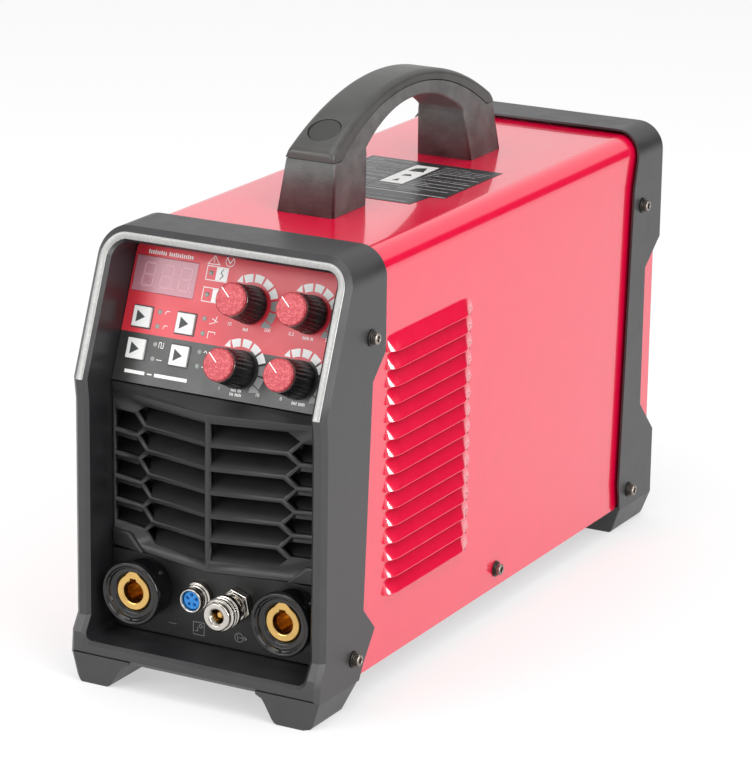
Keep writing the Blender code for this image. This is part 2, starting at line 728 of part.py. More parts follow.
def build_knobs():
    """Each control: a fluted body, the cap that fills its end, and the shaft that carries both."""
    body_top = KNOB_HEIGHT - 3.0
    shaft_end = -18.0
    bore = SHAFT_RADIUS + GAP
    for label, (across, up) in KNOB_PLACES.items():
        pivot = panel_point(across, up)
        body = turned([(bore, 3.4), (bore, 1.0), (KNOB_BASE_RADIUS, 1.0), (KNOB_BASE_RADIUS + 0.2, 3.4),
                       (KNOB_TOP_RADIUS, body_top), (bore, body_top)], 18)
        place(add_object(f"knob_body_{label}", body, gloss_black), pivot, panel_turn())
        cap = turned([(0, body_top + GAP), (10.4, body_top + GAP), (KNOB_TOP_RADIUS, body_top + 0.9),
                      (KNOB_TOP_RADIUS, KNOB_HEIGHT - 0.6), (10.6, KNOB_HEIGHT), (0, KNOB_HEIGHT)], 18)
        place(add_object(f"knob_cap_{label}", cap, red_anodised), pivot, panel_turn())
        shaft_top = body_top - 1.0
        shaft = turned([(0, shaft_end), (SHAFT_RADIUS, shaft_end), (SHAFT_RADIUS, shaft_top), (0, shaft_top)], 12)
        place(add_object(f"pot_shaft_{label}", shaft, nickel), pivot, panel_turn())


def build_buttons():
    half = BUTTON_SIZE / 2
    for label, (across, up) in BUTTON_PLACES.items():
        cap = add_object(f"mode_button_{label}", cuboid((-half, -half, -4.0), (half, half, 1.6)), button_grey)
        join(cap, cuboid((-2.0, -2.0, -BUTTON_STEM), (2.0, 2.0, -3.5)))
        place(cap, panel_point(across, up), panel_turn())


# The handle

def handle_half(z):
    return HANDLE_HALF - HANDLE_TAPER * (z - COVER_TOP)


def handle_prism(outline):
    """The outline (y, z) as a solid whose sides lean in towards the top."""
    rings = [[(side * handle_half(z), y, z) for y, z in outline] for side in (-1, 1)]
    return loft(rings)


def bow(half_span, rise, base_z, steps, shrink=0.0):
    """Points (y, z) of an arc over the middle of the handle, from front to rear."""
    radius = (half_span ** 2 + rise ** 2) / (2 * rise)
    middle = (HANDLE_FRONT + HANDLE_REAR) / 2
    centre_z = base_z + rise - radius
    reach = math.degrees(math.asin(half_span / radius))
    return arc((middle, centre_z), radius - shrink, 90 + reach, 90 - reach, steps)


def build_handle():
    """The handle: a body with an arch under it, a grip cap along the seam, and two round screw covers."""
    bottom = COVER_TOP + GAP
    inner_front, inner_rear = 174.0, 322.0
    lean = 6.0
    seam = bow(95.0, 28.5, HANDLE_SEAM + 1.0, 12)
    inner = bow(68.5, 26.0, 316.0, 12)
    shoulder = lean + 12.0
    body = [(HANDLE_FRONT, bottom), (HANDLE_FRONT + lean, HANDLE_SEAM), (HANDLE_FRONT + shoulder, HANDLE_SEAM),
            *seam, (HANDLE_REAR - shoulder, HANDLE_SEAM), (HANDLE_REAR - lean, HANDLE_SEAM),
            (HANDLE_REAR, bottom), (inner_rear, bottom), *inner[::-1], (inner_front, bottom)]
    add_object("handle_body", handle_prism(body), black_plastic)
    seam_up = [(y, z + GAP) for y, z in seam]
    low = HANDLE_SEAM + GAP
    crown = bow((HANDLE_REAR - HANDLE_FRONT) / 2 - lean, HANDLE_TOP - 324.5, 324.5, 14)
    grip = [(HANDLE_FRONT + lean, low), *crown, (HANDLE_REAR - lean, low), (HANDLE_REAR - shoulder, low),
            *seam_up[::-1], (HANDLE_FRONT + shoulder, low)]
    cap = add_object("handle_grip", handle_prism(grip), grip_plastic)
    middle = (HANDLE_FRONT + HANDLE_REAR) / 2
    for side, label in ((-1, "front"), (1, "rear")):
        lean_angle = math.radians(33)
        direction = Vector((0, side * math.sin(lean_angle), math.cos(lean_angle)))
        foot_point = Vector((0, middle + side * 91.5, 337.0)) - direction * 4.2
        cut(cap, rod(11.2, foot_point, direction, 12, 24))
        plug = turned([(0, 0.3), (10.9, 0.3), (10.9, 3.4), (10.4, 3.9), (0, 3.9)], 24)
        add_object(f"handle_plug_{label}", aim(plug, direction, foot_point), black_plastic)


# The rear

def build_rear_panel():
    half = RECESS_X - GAP
    outline = rounded_panel(half, 28.0, 279.0, 5.5, 9.0)
    panel = add_object("rear_panel", prism(outline, REAR_PANEL_Y, REAR_PANEL_Y + REAR_PANEL, "y"), dark_paint)
    before, after = REAR_PANEL_Y - 3, REAR_PANEL_Y + 5
    slot_pitch, slot_half, rib_half = 9.0, 2.6, 2.0
    slots = bmesh.new()
    for row in range(-5, 6):
        drop = row * slot_pitch
        reach = math.sqrt(FAN_RADIUS ** 2 - drop ** 2) - 4.0
        for x0, x1 in ((-reach, -rib_half), (rib_half, reach)):
            cuboid((x0, before, FAN_Z + drop - slot_half), (x1, after, FAN_Z + drop + slot_half), slots)
    cut(panel, slots)
    cut(panel, cuboid((SWITCH_X - 11.3, before, SWITCH_Z - 14.3), (SWITCH_X + 11.3, after, SWITCH_Z + 14.3)))
    for x, z, radius in ((GLAND_X, SWITCH_Z, 10.4), (GLAND_X, INLET_Z, 6.4)):
        cut(panel, rod(radius, (x, REAR_PANEL_Y - 5, z), (0, 1, 0), 12, 20))
    return panel


def fan_blade():
    """One twisted blade about the local y axis: (radius, pitch in degrees, chord) from root to tip."""
    sections = ((17.0, 42.0, 15.0), (36.0, 32.0, 19.0), (FAN_RADIUS - 1.0, 25.0, 22.0))
    mid_depth, half_thick = 8.5, 0.9
    rings = []
    for radius, pitch, chord in sections:
        cos_pitch, sin_pitch = math.cos(math.radians(pitch)), math.sin(math.radians(pitch))
        ring = []
        for along, thick in ((-chord / 2, 0.0), (0.0, half_thick), (chord / 2, 0.0), (0.0, -half_thick)):
            lateral = along * cos_pitch - thick * sin_pitch
            depth = along * sin_pitch + thick * cos_pitch
            ring.append((lateral, mid_depth + depth, radius))
        rings.append(ring)
    return loft(rings)


def build_fan():
    """A square axial fan against the rear panel, its motor held by four arms."""
    y1 = REAR_PANEL_Y - GAP
    y0 = y1 - FAN_DEPTH
    fan = add_object("fan_frame", cuboid((-FAN_HALF, y0, FAN_Z - FAN_HALF), (FAN_HALF, y1, FAN_Z + FAN_HALF)),
                     black_plastic)
    cut(fan, rod(FAN_RADIUS + 1.5, (0, y0 - 3, FAN_Z), (0, 1, 0), 40, 40))
    for turn in range(4):
        arm = cuboid((-2.5, 0, 10), (2.5, 3.0, FAN_RADIUS + 3))
        matrix = Matrix.Translation((0, y0, FAN_Z)) @ Matrix.Rotation(math.radians(45 + 90 * turn), 4, "Y")
        bmesh.ops.transform(arm, matrix=matrix, verts=arm.verts)
        join(fan, arm)
    join(fan, rod(17.0, (0, y0, FAN_Z), (0, 1, 0), 5.0, 24))
    hub = turned([(0, 0.0), (18.5, 0.0), (19.0, 0.5), (19.0, 16.0), (17.5, 17.0), (0, 17.0)], 24)
    rotor = add_object("fan_rotor", aim(hub, (0, 1, 0), (0, 0, 0)), black_plastic)
    blades = 7
    for index in range(blades):
        blade = fan_blade()
        matrix = Matrix.Rotation(2 * math.pi * index / blades, 4, "Y")
        bmesh.ops.transform(blade, matrix=matrix, verts=blade.verts)
        join(rotor, blade)
    place(rotor, (0, y0 + 6.5, FAN_Z))


def build_switch():
    """A rocker switch in its frame. At rest the rocker leans to one side."""
    y = REAR_PANEL_Y + REAR_PANEL + GAP
    bezel = cuboid((SWITCH_X - 13.5, y, SWITCH_Z - 16.5), (SWITCH_X + 13.5, y + 2.2, SWITCH_Z + 16.5))
    body = add_object("switch_body", bezel, gloss_black)
    join(body, cuboid((SWITCH_X - 11, y - 20, SWITCH_Z - 14), (SWITCH_X + 11, y + 1, SWITCH_Z + 14)))
    cut(body, cuboid((SWITCH_X - 9, y - 8, SWITCH_Z - 12.4), (SWITCH_X + 9, y + 6, SWITCH_Z + 12.4)))
    outline = [(-3.0, -4.0), (-3.0, 4.0), (1.2, 11.6), (3.4, 11.6), (4.2, 3.0), (3.9, 0.0), (4.2, -3.0), (3.4, -11.6),
               (1.2, -11.6)]
    rocker = add_object("switch_rocker", prism(outline, -8.6, 8.6, "x"), rocker_red)
    place(rocker, (SWITCH_X, y, SWITCH_Z), Matrix.Rotation(-ROCKER_TILT, 3, "X"))


def build_gland_and_cable():
    """The mains cable leaves through its gland, bends down and ends a hand's width above the floor."""
    y = REAR_PANEL_Y + REAR_PANEL + GAP
    bore = CABLE_RADIUS + 0.6
    gland = turned([(bore, -14.0), (10.0, -14.0), (10.0, 0.0), (14.0, 0.0), (14.0, 4.0), (12.4, 4.6), (12.4, 11.0),
                    (10.6, 15.0), (bore, 16.0)], 20)
    add_object("cable_gland", aim(gland, (0, 1, 0), (GLAND_X, y, SWITCH_Z)), black_plastic)
    bend_y, bend_z = y + CABLE_STRAIGHT, SWITCH_Z - CABLE_BEND
    path = [(y - 20.0, SWITCH_Z), (bend_y, SWITCH_Z)]
    path += arc((bend_y, bend_z), CABLE_BEND, 75, 0, 5)
    path.append((bend_y + CABLE_BEND, bend_z - CABLE_DROP + CABLE_BEND))
    across = Vector((1, 0, 0))
    sides = 10
    rings = []
    for index, (along, z) in enumerate(path):
        before, after = path[max(0, index - 1)], path[min(len(path) - 1, index + 1)]
        tangent = Vector((0, after[0] - before[0], after[1] - before[1])).normalized()
        lift = across.cross(tangent)
        angles = [2 * math.pi * step / sides for step in range(sides)]
        middle = Vector((GLAND_X, along, z))
        rings.append([middle + CABLE_RADIUS * (math.cos(a) * lift + math.sin(a) * across) for a in angles])
    add_object("mains_cable", loft(rings), rubber)


def build_gas_inlet():
    y = REAR_PANEL_Y + REAR_PANEL + GAP
    bore = 2.4
    barb = [(bore, -16.0), (6.0, -16.0), (6.0, 0.0), (9.0, 0.0), (9.0, 3.0), (5.0, 3.4)]
    for ridge in range(3):
        start = 4.0 + ridge * 3.6
        barb += [(5.4, start), (4.2, start + 3.4)]
    barb += [(3.6, 16.0), (bore, 16.0)]
    add_object("gas_inlet_barb", aim(turned(barb, 14), (0, 1, 0), (GLAND_X, y, INLET_Z)), brass)
    back = y - 16.0 - GAP
    block = cuboid((GLAND_X - 11, back - 34, INLET_Z - 11), (GLAND_X + 11, back, INLET_Z + 11))
    valve = add_object("gas_valve", block, brass)
    join(valve, rod(12.0, (GLAND_X, back - 17, INLET_Z + 10), (0, 0, 1), 15.0, 20))


# Inside

def build_inverter_board():
    """The power board over the heat sink, with four round capacitors and two square coils."""
    under, top = 200.0, 201.6
    root = top - 0.6
    board = add_object("inverter_board", cuboid((-66, 110, under), (66, 390, top)), board_green)
    for x in (-38, 0):
        for y in (150, 190):
            join(board, rod(15.0, (x, y, root), (0, 0, 1), 42.0, 16))
    join(board, cuboid((-50, 250, root), (-10, 300, 226.0)))
    join(board, cuboid((10, 240, root), (50, 285, 221.0)))


def build_heat_sink():
    """A finned block on four posts that stand on the pan."""
    low, high, fin_root = 180.0, 198.5, 193.0
    sink = add_object("heat_sink", cuboid((-60, 150, low), (60, 380, high)), aluminium)
    channels = bmesh.new()
    for index in range(14):
        x = -54.5 + index * 8.0
        cuboid((x, 145, low - 4.0), (x + 5.0, 385, fin_root), channels)
    cut(sink, channels)
    pan_top = PAN_LOW + SHEET + GAP
    for x in (-44.0, 44.0):
        for y in (165.0, 365.0):
            join(sink, rod(4.6, (x, y, pan_top), (0, 0, 1), fin_root + 1.0 - pan_top, 10))


def build_transformer():
    """An E-shaped core standing on the pan, its winding round the middle leg."""
    low = PAN_LOW + SHEET + GAP
    front, rear, half = 200.0, 290.0, 34.0
    transformer = add_object("main_transformer", cuboid((-half, front, low), (half, rear, low + 22)), ferrite)
    join(transformer, cuboid((-14, front + 5, low + 20), (14, rear - 5, low + 62)))
    join(transformer, cuboid((-half, front, low + 60), (half, rear, low + 80)))
    join(transformer, cuboid((-27, front + 14, low + 21), (27, rear - 14, low + 61)))


for old in list(bpy.data.objects):
    bpy.data.objects.remove(old)

red_paint = material("red_paint", (0.72, 0.005, 0.04), 0.18)
black_plastic = material("black_plastic", (0.035, 0.035, 0.038), 0.55)
grip_plastic = material("grip_plastic", (0.045, 0.045, 0.047), 0.4)
gloss_black = material("gloss_black", (0.015, 0.015, 0.016), 0.25)
silver_trim = material("silver_trim", (0.66, 0.67, 0.67), 0.45, 0.6)
fascia_red = material("fascia_red", (0.62, 0.05, 0.08), 0.4)
red_anodised = material("red_anodised", (0.66, 0.03, 0.07), 0.35, 0.5)
button_grey = material("button_grey", (0.72, 0.73, 0.72), 0.5)
smoked_lens = material("smoked_lens", (0.55, 0.2, 0.24), 0.15)
nickel = material("nickel", (0.72, 0.7, 0.66), 0.22, 1.0)
brass = material("brass", (0.78, 0.52, 0.16), 0.25, 1.0)
blue_nylon = material("blue_nylon", (0.03, 0.3, 0.72), 0.4)
black_steel = material("black_steel", (0.12, 0.11, 0.1), 0.35, 0.9)
zinc = material("zinc", (0.55, 0.57, 0.58), 0.4, 0.9)
dark_paint = material("dark_paint", (0.03, 0.03, 0.032), 0.5)
rubber = material("rubber", (0.02, 0.02, 0.02), 0.7)
rocker_red = material("rocker_red", (0.6, 0.02, 0.02), 0.3)
board_green = material("board_green", (0.02, 0.2, 0.08), 0.5)
aluminium = material("aluminium", (0.75, 0.76, 0.77), 0.35, 1.0)
ferrite = material("ferrite", (0.08, 0.08, 0.08), 0.7)

assembly = bpy.data.objects.new("assembly", None)
bpy.context.scene.collection.objects.link(assembly)
assembly.location = (0.0, -(FRONT_Y + FOOT_INSET + CABLE_REAR) / 2 * MM, 0.0)

build_front_frame()
build_front_trim()
build_rear_frame()
build_cover()
build_base_pan()
build_screws()
build_grille()
build_connector_plate()
build_sockets()
build_torch_connector()
build_gas_outlet()
build_fascia()
build_control_board()
build_knobs()
build_buttons()
build_handle()
build_rear_panel()
build_fan()
build_switch()
build_gland_and_cable()
build_gas_inlet()
build_inverter_board()
build_heat_sink()
build_transformer()
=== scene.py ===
"""The look of the TIG welder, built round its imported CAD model.

Shapes are written in millimetres in the assembly's own axes: x to the right, y back from the front
face, z up from the floor. The matrix ROW turns them into the row frame, in metres.
"""

import math
import random
from functools import partial

import bmesh
import bpy
from mathutils import Matrix, Vector


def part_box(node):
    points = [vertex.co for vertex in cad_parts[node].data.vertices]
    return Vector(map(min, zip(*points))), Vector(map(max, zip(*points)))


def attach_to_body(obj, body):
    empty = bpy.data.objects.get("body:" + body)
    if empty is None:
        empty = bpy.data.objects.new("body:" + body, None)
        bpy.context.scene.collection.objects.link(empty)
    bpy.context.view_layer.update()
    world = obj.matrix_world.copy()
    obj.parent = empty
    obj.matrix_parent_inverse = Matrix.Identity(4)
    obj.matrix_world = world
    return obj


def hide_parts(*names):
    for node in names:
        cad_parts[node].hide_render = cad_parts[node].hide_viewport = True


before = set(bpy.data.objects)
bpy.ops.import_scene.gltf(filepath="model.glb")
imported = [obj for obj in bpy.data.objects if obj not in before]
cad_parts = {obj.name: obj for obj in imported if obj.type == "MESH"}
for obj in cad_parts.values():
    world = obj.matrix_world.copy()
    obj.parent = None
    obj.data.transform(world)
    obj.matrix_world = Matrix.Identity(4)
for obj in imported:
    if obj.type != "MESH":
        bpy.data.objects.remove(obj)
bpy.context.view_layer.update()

MM = 0.001
FOOT_FRONT = -6.9
ORIGIN_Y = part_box("front_frame")[0].y / MM - FOOT_FRONT
ROW = Matrix.Scale(MM, 4) @ Matrix.Translation((0, ORIGIN_Y, 0))
BACK = (0, 1, 0)
SIDES = {"left": -1, "right": 1}

# The case. Tables named _Y hold (z, y) pairs.
HALF_WIDTH = 90.5
HEIGHT = 290
REAR_Y = 483.4
FRAME_STEP = 4
FACE_CHAMFER = 3.2
FRAME_CORNER = 19
FRAME_CORNER_STEPS = 12
FOOT_CORNER = 15.5
FOOT_CORNER_STEPS = 4
FRAME_FOOT = 17
RECESS_INSET = 10.5
RECESS_X = HALF_WIDTH - RECESS_INSET
GAP = 0.3
SHEET = 1.1
WALL_INSET = FRAME_STEP - GAP
TUNNEL_INSET = FRAME_STEP + SHEET + GAP
COVER_HALF = HALF_WIDTH - FRAME_STEP
COVER_TOP = HEIGHT - FRAME_STEP
COVER_BOTTOM = 17.5
COVER_CORNER = FRAME_CORNER - FRAME_STEP
COVER_FRONT = 46
COVER_REAR = 480
REAR_INSIDE = 457
FACE_Y = [(0, -7), (18, -6.5), (33, -5), (42, 1), (184, 1), (198, -1), (HEIGHT, 35)]
SKIRT_Y = [(3, 34.5), (46, 66), (62, 51), (208, 59), (224, 75), (HEIGHT, 75)]
TUNNEL_Y = [(186, 47.5), (202, 73), (HEIGHT, 73)]
REAR_EDGE_Y = [(0, 428), (20, 430.5), (35, 427.5), (251, 437), (HEIGHT, 447)]
REAR_FOOT_Y = [(0, 478), (16, REAR_Y - 0.4), (40, REAR_Y - 0.4)]
FACE_BEND = 198
FRONT_LEVELS = (42, 46, 62, 184, FACE_BEND, 208, 224)
REAR_LEVELS = (35, 251)

# Louvres
LOUVRES = 15
LOUVRE_TOP = 231.9
LOUVRE_PITCH = 11.4
LOUVRE_DROP = 11.3
LOUVRE_FRONT = 83
LOUVRE_REAR = 203
LOUVRE_OUT = 5.4
LOUVRE_FRONT_END = 13
LOUVRE_REAR_END = 23

# Screws, as (y, z)
FRONT_SCREWS = {"top": (56.6, 237), "bottom": (39.1, 33.5)}
REAR_SCREWS = {"top": (450.9, 237), "bottom": (444.4, 29)}
COVER_SCREW = (241.5, 30.4)

# The control panel: places on it are (across, up) from the foot of its slope
PANEL_TILT = math.radians(21.4)
PANEL_TURN = Matrix.Rotation(math.pi / 2 - PANEL_TILT, 3, "X")
PANEL_FOOT = (0, 31, FACE_BEND)
COLOUR_EDGE = 24.5
PRINT = 0.06
PRINT_LIFT = 0.02
KNOBS = {"amps": (8.5, 52.8), "pulse": (51, 52.8), "gas": (8.5, 12.2), "slope": (51, 12.2)}
KNOB_TOP = 26.6
KNOB_CAP = 10.5
KNOB_FLUTES = 24
POINTER_TURN = math.radians(48)
BUTTONS = {"mode": (-66, 34.8), "trigger": (-34.3, 34.8), "current": (-66, 14.4), "pulse_type": (-34.3, 14.4)}
BUTTON_HALF = 6.5
DISPLAY = (-78.3, 50.5, -32.9, 73.4)
LAMPS = ((-54.2, 39.5), (-54.2, 30.3), (-21.8, 40), (-21.2, 30.7), (-53.2, 19), (-53.2, 9.8), (-20.8, 19),
         (-20.6, 10), (-23.4, 68.6), (-23.4, 55))

# The grille, a V in plan
GRILLE_RIB_Y = 12.5
GRILLE_SWEEP = 0.21
GRILLE_TOP = 184.6
GRILLE_BOTTOM = 82.5
GRILLE_ROWS = 6
GRILLE_PITCH = 15.4
GRILLE_BAR = 2.8
GRILLE_RIM = 5.2
GRILLE_WAIST = 51.4
GRILLE_WAIST_STEP = 1.5
GRILLE_POINT = 7.6

# Connectors
SOCKET_X = 54.5
SOCKET_Z = 58.7
SOCKET_FACE = 8.5
PLATE_Y = 28.5
TORCH_X = -15.2
TORCH_FACE = 17.3
GAS_X = 13.5
GAS_FACE = 0.8

# The handle
HANDLE_FRONT = 131
HANDLE_REAR = 365
HANDLE_MIDDLE = (HANDLE_FRONT + HANDLE_REAR) / 2
HANDLE_HALF = 20.7
HANDLE_TAPER = 0.085
HANDLE_SEAM = 319.7
HANDLE_TOP = 358.8
HANDLE_LEAN = 6.5
HANDLE_LEDGE = 9.5
HANDLE_INNER_FOOT = 73
HANDLE_INNER_TOP = 67.3

# The rear
PANEL_BACK = 464.8
SWITCH_Z = 243
GLAND_X = -42
INLET_Z = 48

# The camera, in assembly millimetres, looks back and down at the front right corner
CAMERA_POINT = (1096.7, -1791.9, 842.3)
CAMERA_AZIMUTH = math.radians(28.48)
CAMERA_ELEVATION = math.radians(16.78)
CAMERA_ROLL = math.radians(0.856)
CAMERA_LENS = 168.6

draw = random.Random(7)


# Materials

def shader_of(finish):
    return finish.node_tree.nodes["Principled BSDF"]


def add_node(owner, kind, **values):
    """A node in a finish or the world. Values name its inputs, with _ for a space, or its settings."""
    made = owner.node_tree.nodes.new(kind)
    for key, value in values.items():
        socket = made.inputs.get(key.replace("_", " "))
        if socket is not None:
            socket.default_value = value
        else:
            setattr(made, key, value)
    return made


def link(owner, output, socket):
    owner.node_tree.links.new(output, socket)


def noise(finish, scale, detail=3, stretch=(1, 1, 1)):
    """Noise over the object's own coordinates, which are metres."""
    place = add_node(finish, "ShaderNodeTexCoord")
    mapping = add_node(finish, "ShaderNodeMapping", Scale=stretch)
    made = add_node(finish, "ShaderNodeTexNoise", Scale=scale, Detail=detail, Roughness=0.6)
    link(finish, place.outputs["Object"], mapping.inputs["Vector"])
    link(finish, mapping.outputs["Vector"], made.inputs["Vector"])
    return made.outputs["Fac"]


def spread(finish, source, low, high, start=0.3, end=0.7):
    """Maps the part of a source between start and end onto a range."""
    made = add_node(finish, "ShaderNodeMapRange", From_Min=start, From_Max=end, To_Min=low, To_Max=high)
    link(finish, source, made.inputs["Value"])
    return made.outputs["Result"]


def tint(finish, source, first, second):
    made = add_node(finish, "ShaderNodeMix", data_type="RGBA")
    for socket in made.inputs:
        if socket.type == "RGBA":
            socket.default_value = (*(first if socket.name == "A" else second), 1)
    link(finish, source, made.inputs["Factor"])
    return next(s for s in made.outputs if s.type == "RGBA")


def surface(name, colour, roughness, metallic=0, coat=0, grain=None, mottle=0.12, mottle_scale=60,
            wave=None, stretch=(1, 1, 1), spot=None, ior=1.5):
    """A finish with its own roughness and colour variation, and a fine bump.

    grain is (scale, depth in mm), wave is a second, coarser bump of the same kind, stretch pulls the
    grain out into brush marks, and spot is a colour that flecks the surface at the grain's scale.
    """
    made = bpy.data.materials.new(name)
    made.use_nodes = True
    sockets = shader_of(made).inputs
    sockets["Metallic"].default_value = metallic
    sockets["IOR"].default_value = ior
    sockets["Coat Weight"].default_value = coat
    sockets["Coat Roughness"].default_value = 0.04
    cloud = noise(made, mottle_scale)
    dark = tuple(c * (1 - mottle) for c in colour)
    light = tuple(min(1, c * (1 + mottle)) for c in colour)
    if spot:
        flecks = spread(made, noise(made, grain[0] * 0.8, 1), 0, 1, 0.45, 0.62)
        link(made, tint(made, flecks, dark, spot), sockets["Base Color"])
    else:
        link(made, tint(made, spread(made, cloud, 0, 1), dark, light), sockets["Base Color"])
    link(made, spread(made, cloud, roughness * 0.9, roughness * 1.12), sockets["Roughness"])
    normal = None
    for bump, pull in ((wave, (1, 1, 1)), (grain, stretch)):
        if bump is None:
            continue
        scale, depth = bump
        node = add_node(made, "ShaderNodeBump", Strength=1, Distance=depth * MM)
        link(made, noise(made, scale, 2, pull), node.inputs["Height"])
        if normal:
            link(made, normal, node.inputs["Normal"])
        normal = node.outputs["Normal"]
    if normal:
        link(made, normal, sockets["Normal"])
    return made


def panel_print(name, upper, lower):
    """The control panel's film: one colour above the dividing line and another below it."""
    made = surface(name, upper, 0.33, grain=(2600, 0.012), mottle=0.05)
    place = add_node(made, "ShaderNodeTexCoord")
    slope = (0, math.sin(PANEL_TILT), math.cos(PANEL_TILT))
    along = add_node(made, "ShaderNodeVectorMath", operation="DOT_PRODUCT")
    along.inputs[1].default_value = slope
    link(made, place.outputs["Object"], along.inputs[0])
    above = add_node(made, "ShaderNodeMath", operation="GREATER_THAN")
    above.inputs[1].default_value = (ROW @ panel_point(0, COLOUR_EDGE)).dot(slope)
    link(made, along.outputs["Value"], above.inputs[0])
    link(made, tint(made, above.outputs["Value"], lower, upper), shader_of(made).inputs["Base Color"])
    return made


# Shapes

def put(mesh, matrix):
    bmesh.ops.transform(mesh, matrix=matrix, verts=mesh.verts)
    return mesh


def make_piece(name, mesh, finish, sharp=35):
    """An object of a mesh that is already in metres."""
    data = bpy.data.meshes.new(name)
    mesh.to_mesh(data)
    mesh.free()
    made = bpy.data.objects.new(name, data)
    bpy.context.scene.collection.objects.link(made)
    data.materials.append(finish)
    data.shade_smooth()
    data.set_sharp_from_angle(angle=math.radians(sharp))
    return made


def attach(made, body, stands_for):
    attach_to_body(made, body)
    if stands_for:
        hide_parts(stands_for)
    return made


def fixed(name, mesh, finish, stands_for=None, sharp=35, recalculate=True):
    """A piece of the housing whose mesh is in assembly millimetres."""
    if recalculate:
        bmesh.ops.recalc_face_normals(mesh, faces=mesh.faces)
    return attach(make_piece(name, put(mesh, ROW), finish, sharp), "housing", stands_for)


def pivoted(name, mesh, finish, body, pivot, turn, stands_for=None, sharp=35):
    """A piece whose mesh is in millimetres about a pivot, turned by a 3x3 matrix."""
    bmesh.ops.recalc_face_normals(mesh, faces=mesh.faces)
    made = make_piece(name, put(mesh, Matrix.Scale(MM, 4)), finish, sharp)
    made.matrix_world = Matrix.Translation(ROW @ Vector(pivot)) @ turn.to_4x4()
    return attach(made, body, stands_for)


def apply_modifiers(piece):
    bpy.context.view_layer.update()
    graph = bpy.context.evaluated_depsgraph_get()
    data = bpy.data.meshes.new_from_object(piece.evaluated_get(graph))
    piece.modifiers.clear()
    piece.data = data


def bevel(piece, width, segments=2, angle=35, weighted=False):
    """Rounds edges: those sharper than the angle, or by their weights without regard to neighbours."""
    made = piece.modifiers.new("Bevel", "BEVEL")
    made.width = width * MM
    made.segments = segments
    made.limit_method = "WEIGHT" if weighted else "ANGLE"
    made.angle_limit = math.radians(angle)
    made.use_clamp_overlap = not weighted
    piece.modifiers.new("Weighted normal", "WEIGHTED_NORMAL")


def weld(piece, distance):
    piece.modifiers.new("Weld", "WELD").merge_threshold = distance * MM


def boolean(piece, mesh, operation="DIFFERENCE"):
    """Cuts a shape given in assembly millimetres from the piece, or joins it on."""
    bmesh.ops.recalc_face_normals(mesh, faces=mesh.faces)
    tool = make_piece("tool", put(mesh, ROW), black_plastic)
    modifier = piece.modifiers.new("Boolean", "BOOLEAN")
    modifier.operation = operation
    modifier.object = tool
    apply_modifiers(piece)
    bpy.data.objects.remove(tool)


def join(meshes):
    """One mesh that holds them all."""
    joined = bmesh.new()
    for mesh in meshes:
        data = bpy.data.meshes.new("joined")
        mesh.to_mesh(data)
        mesh.free()
        joined.from_mesh(data)
        bpy.data.meshes.remove(data)
    return joined


def cuboid(low, high):
    size = [b - a for a, b in zip(low, high)]
    middle = [(a + b) / 2 for a, b in zip(low, high)]
    mesh = bmesh.new()
    bmesh.ops.create_cube(mesh, size=1, matrix=Matrix.Translation(middle) @ Matrix.Diagonal((*size, 1)))
    return mesh


def rectangle(x0, y0, x1, y1):
    return [(x0, y0), (x1, y0), (x1, y1), (x0, y1)]


def prism(outline, start, end, axis="x", mesh=None):
    """A flat outline pushed along an axis. The outline is (y, z) for x, (x, z) for y, (x, y) for z."""
    mesh = mesh or bmesh.new()

    def point(pair, along):
        a, b = pair
        return {"x": (along, a, b), "y": (a, along, b), "z": (a, b, along)}[axis]

    low = [mesh.verts.new(point(pair, start)) for pair in outline]
    high = [mesh.verts.new(point(pair, end)) for pair in outline]
    mesh.faces.new(low)
    mesh.faces.new(high[::-1])
    skin(mesh, low, high)
    return mesh


def skin(mesh, first, second, around=True):
    """Faces between two rows of points. Points that the rows share give triangles or nothing."""
    count = len(first)
    for i in range(count if around else count - 1):
        j = (i + 1) % count
        corners = list(dict.fromkeys((first[i], first[j], second[j], second[i])))
        if len(corners) > 2:
            mesh.faces.new(corners)


def loft(rings, closed_ends=True):
    mesh = bmesh.new()
    made = [[mesh.verts.new(p) for p in ring] for ring in rings]
    for first, second in zip(made, made[1:]):
        skin(mesh, first, second)
    if closed_ends:
        mesh.faces.new(made[0])
        mesh.faces.new(made[-1][::-1])
    else:
        skin(mesh, made[-1], made[0])
    return mesh


def turned(profile, segments, ripple=None, turn=0):
    """Turns (radius, distance) pairs about local z. ripple(angle, index) is added to a ring's radius."""
    mesh = bmesh.new()
    rings = []
    for index, (radius, distance) in enumerate(profile):
        if radius == 0:
            rings.append([mesh.verts.new((0, 0, distance))] * segments)
            continue
        ring = []
        for step in range(segments):
            angle = turn + 2 * math.pi * step / segments
            r = radius + (ripple(angle, index) if ripple else 0)
            ring.append(mesh.verts.new((r * math.cos(angle), r * math.sin(angle), distance)))
        rings.append(ring)
    for first, second in zip(rings, rings[1:]):
        skin(mesh, first, second)
    if profile[0][0] != 0:
        skin(mesh, rings[-1], rings[0])
    return mesh


def rounded(profile, radius=0.3, steps=3):
    """Rounds the corners of an open profile of (radius, distance) pairs."""
    points = [Vector(p) for p in profile]
    result = [points[0]]
    for before, corner, after in zip(points, points[1:], points[2:]):
        reach = min(radius, (before - corner).length * 0.45, (after - corner).length * 0.45)
        start = corner + (before - corner).normalized() * reach
        end = corner + (after - corner).normalized() * reach
        for step in range(steps + 1):
            share = step / steps
            result.append(start.lerp(corner, share).lerp(corner.lerp(end, share), share))
    result.append(points[-1])
    return [tuple(p) for p in result]


def aim(mesh, direction, origin):
    """Turns a mesh made about local z so that local z points along direction from origin."""
    turn = Vector(direction).to_track_quat("Z", "Y").to_matrix().to_4x4()
    return put(mesh, Matrix.Translation(origin) @ turn)


def rod(radius, origin, direction, length, segments=48):
    return aim(turned([(0, 0), (radius, 0), (radius, length), (0, length)], segments), direction, origin)


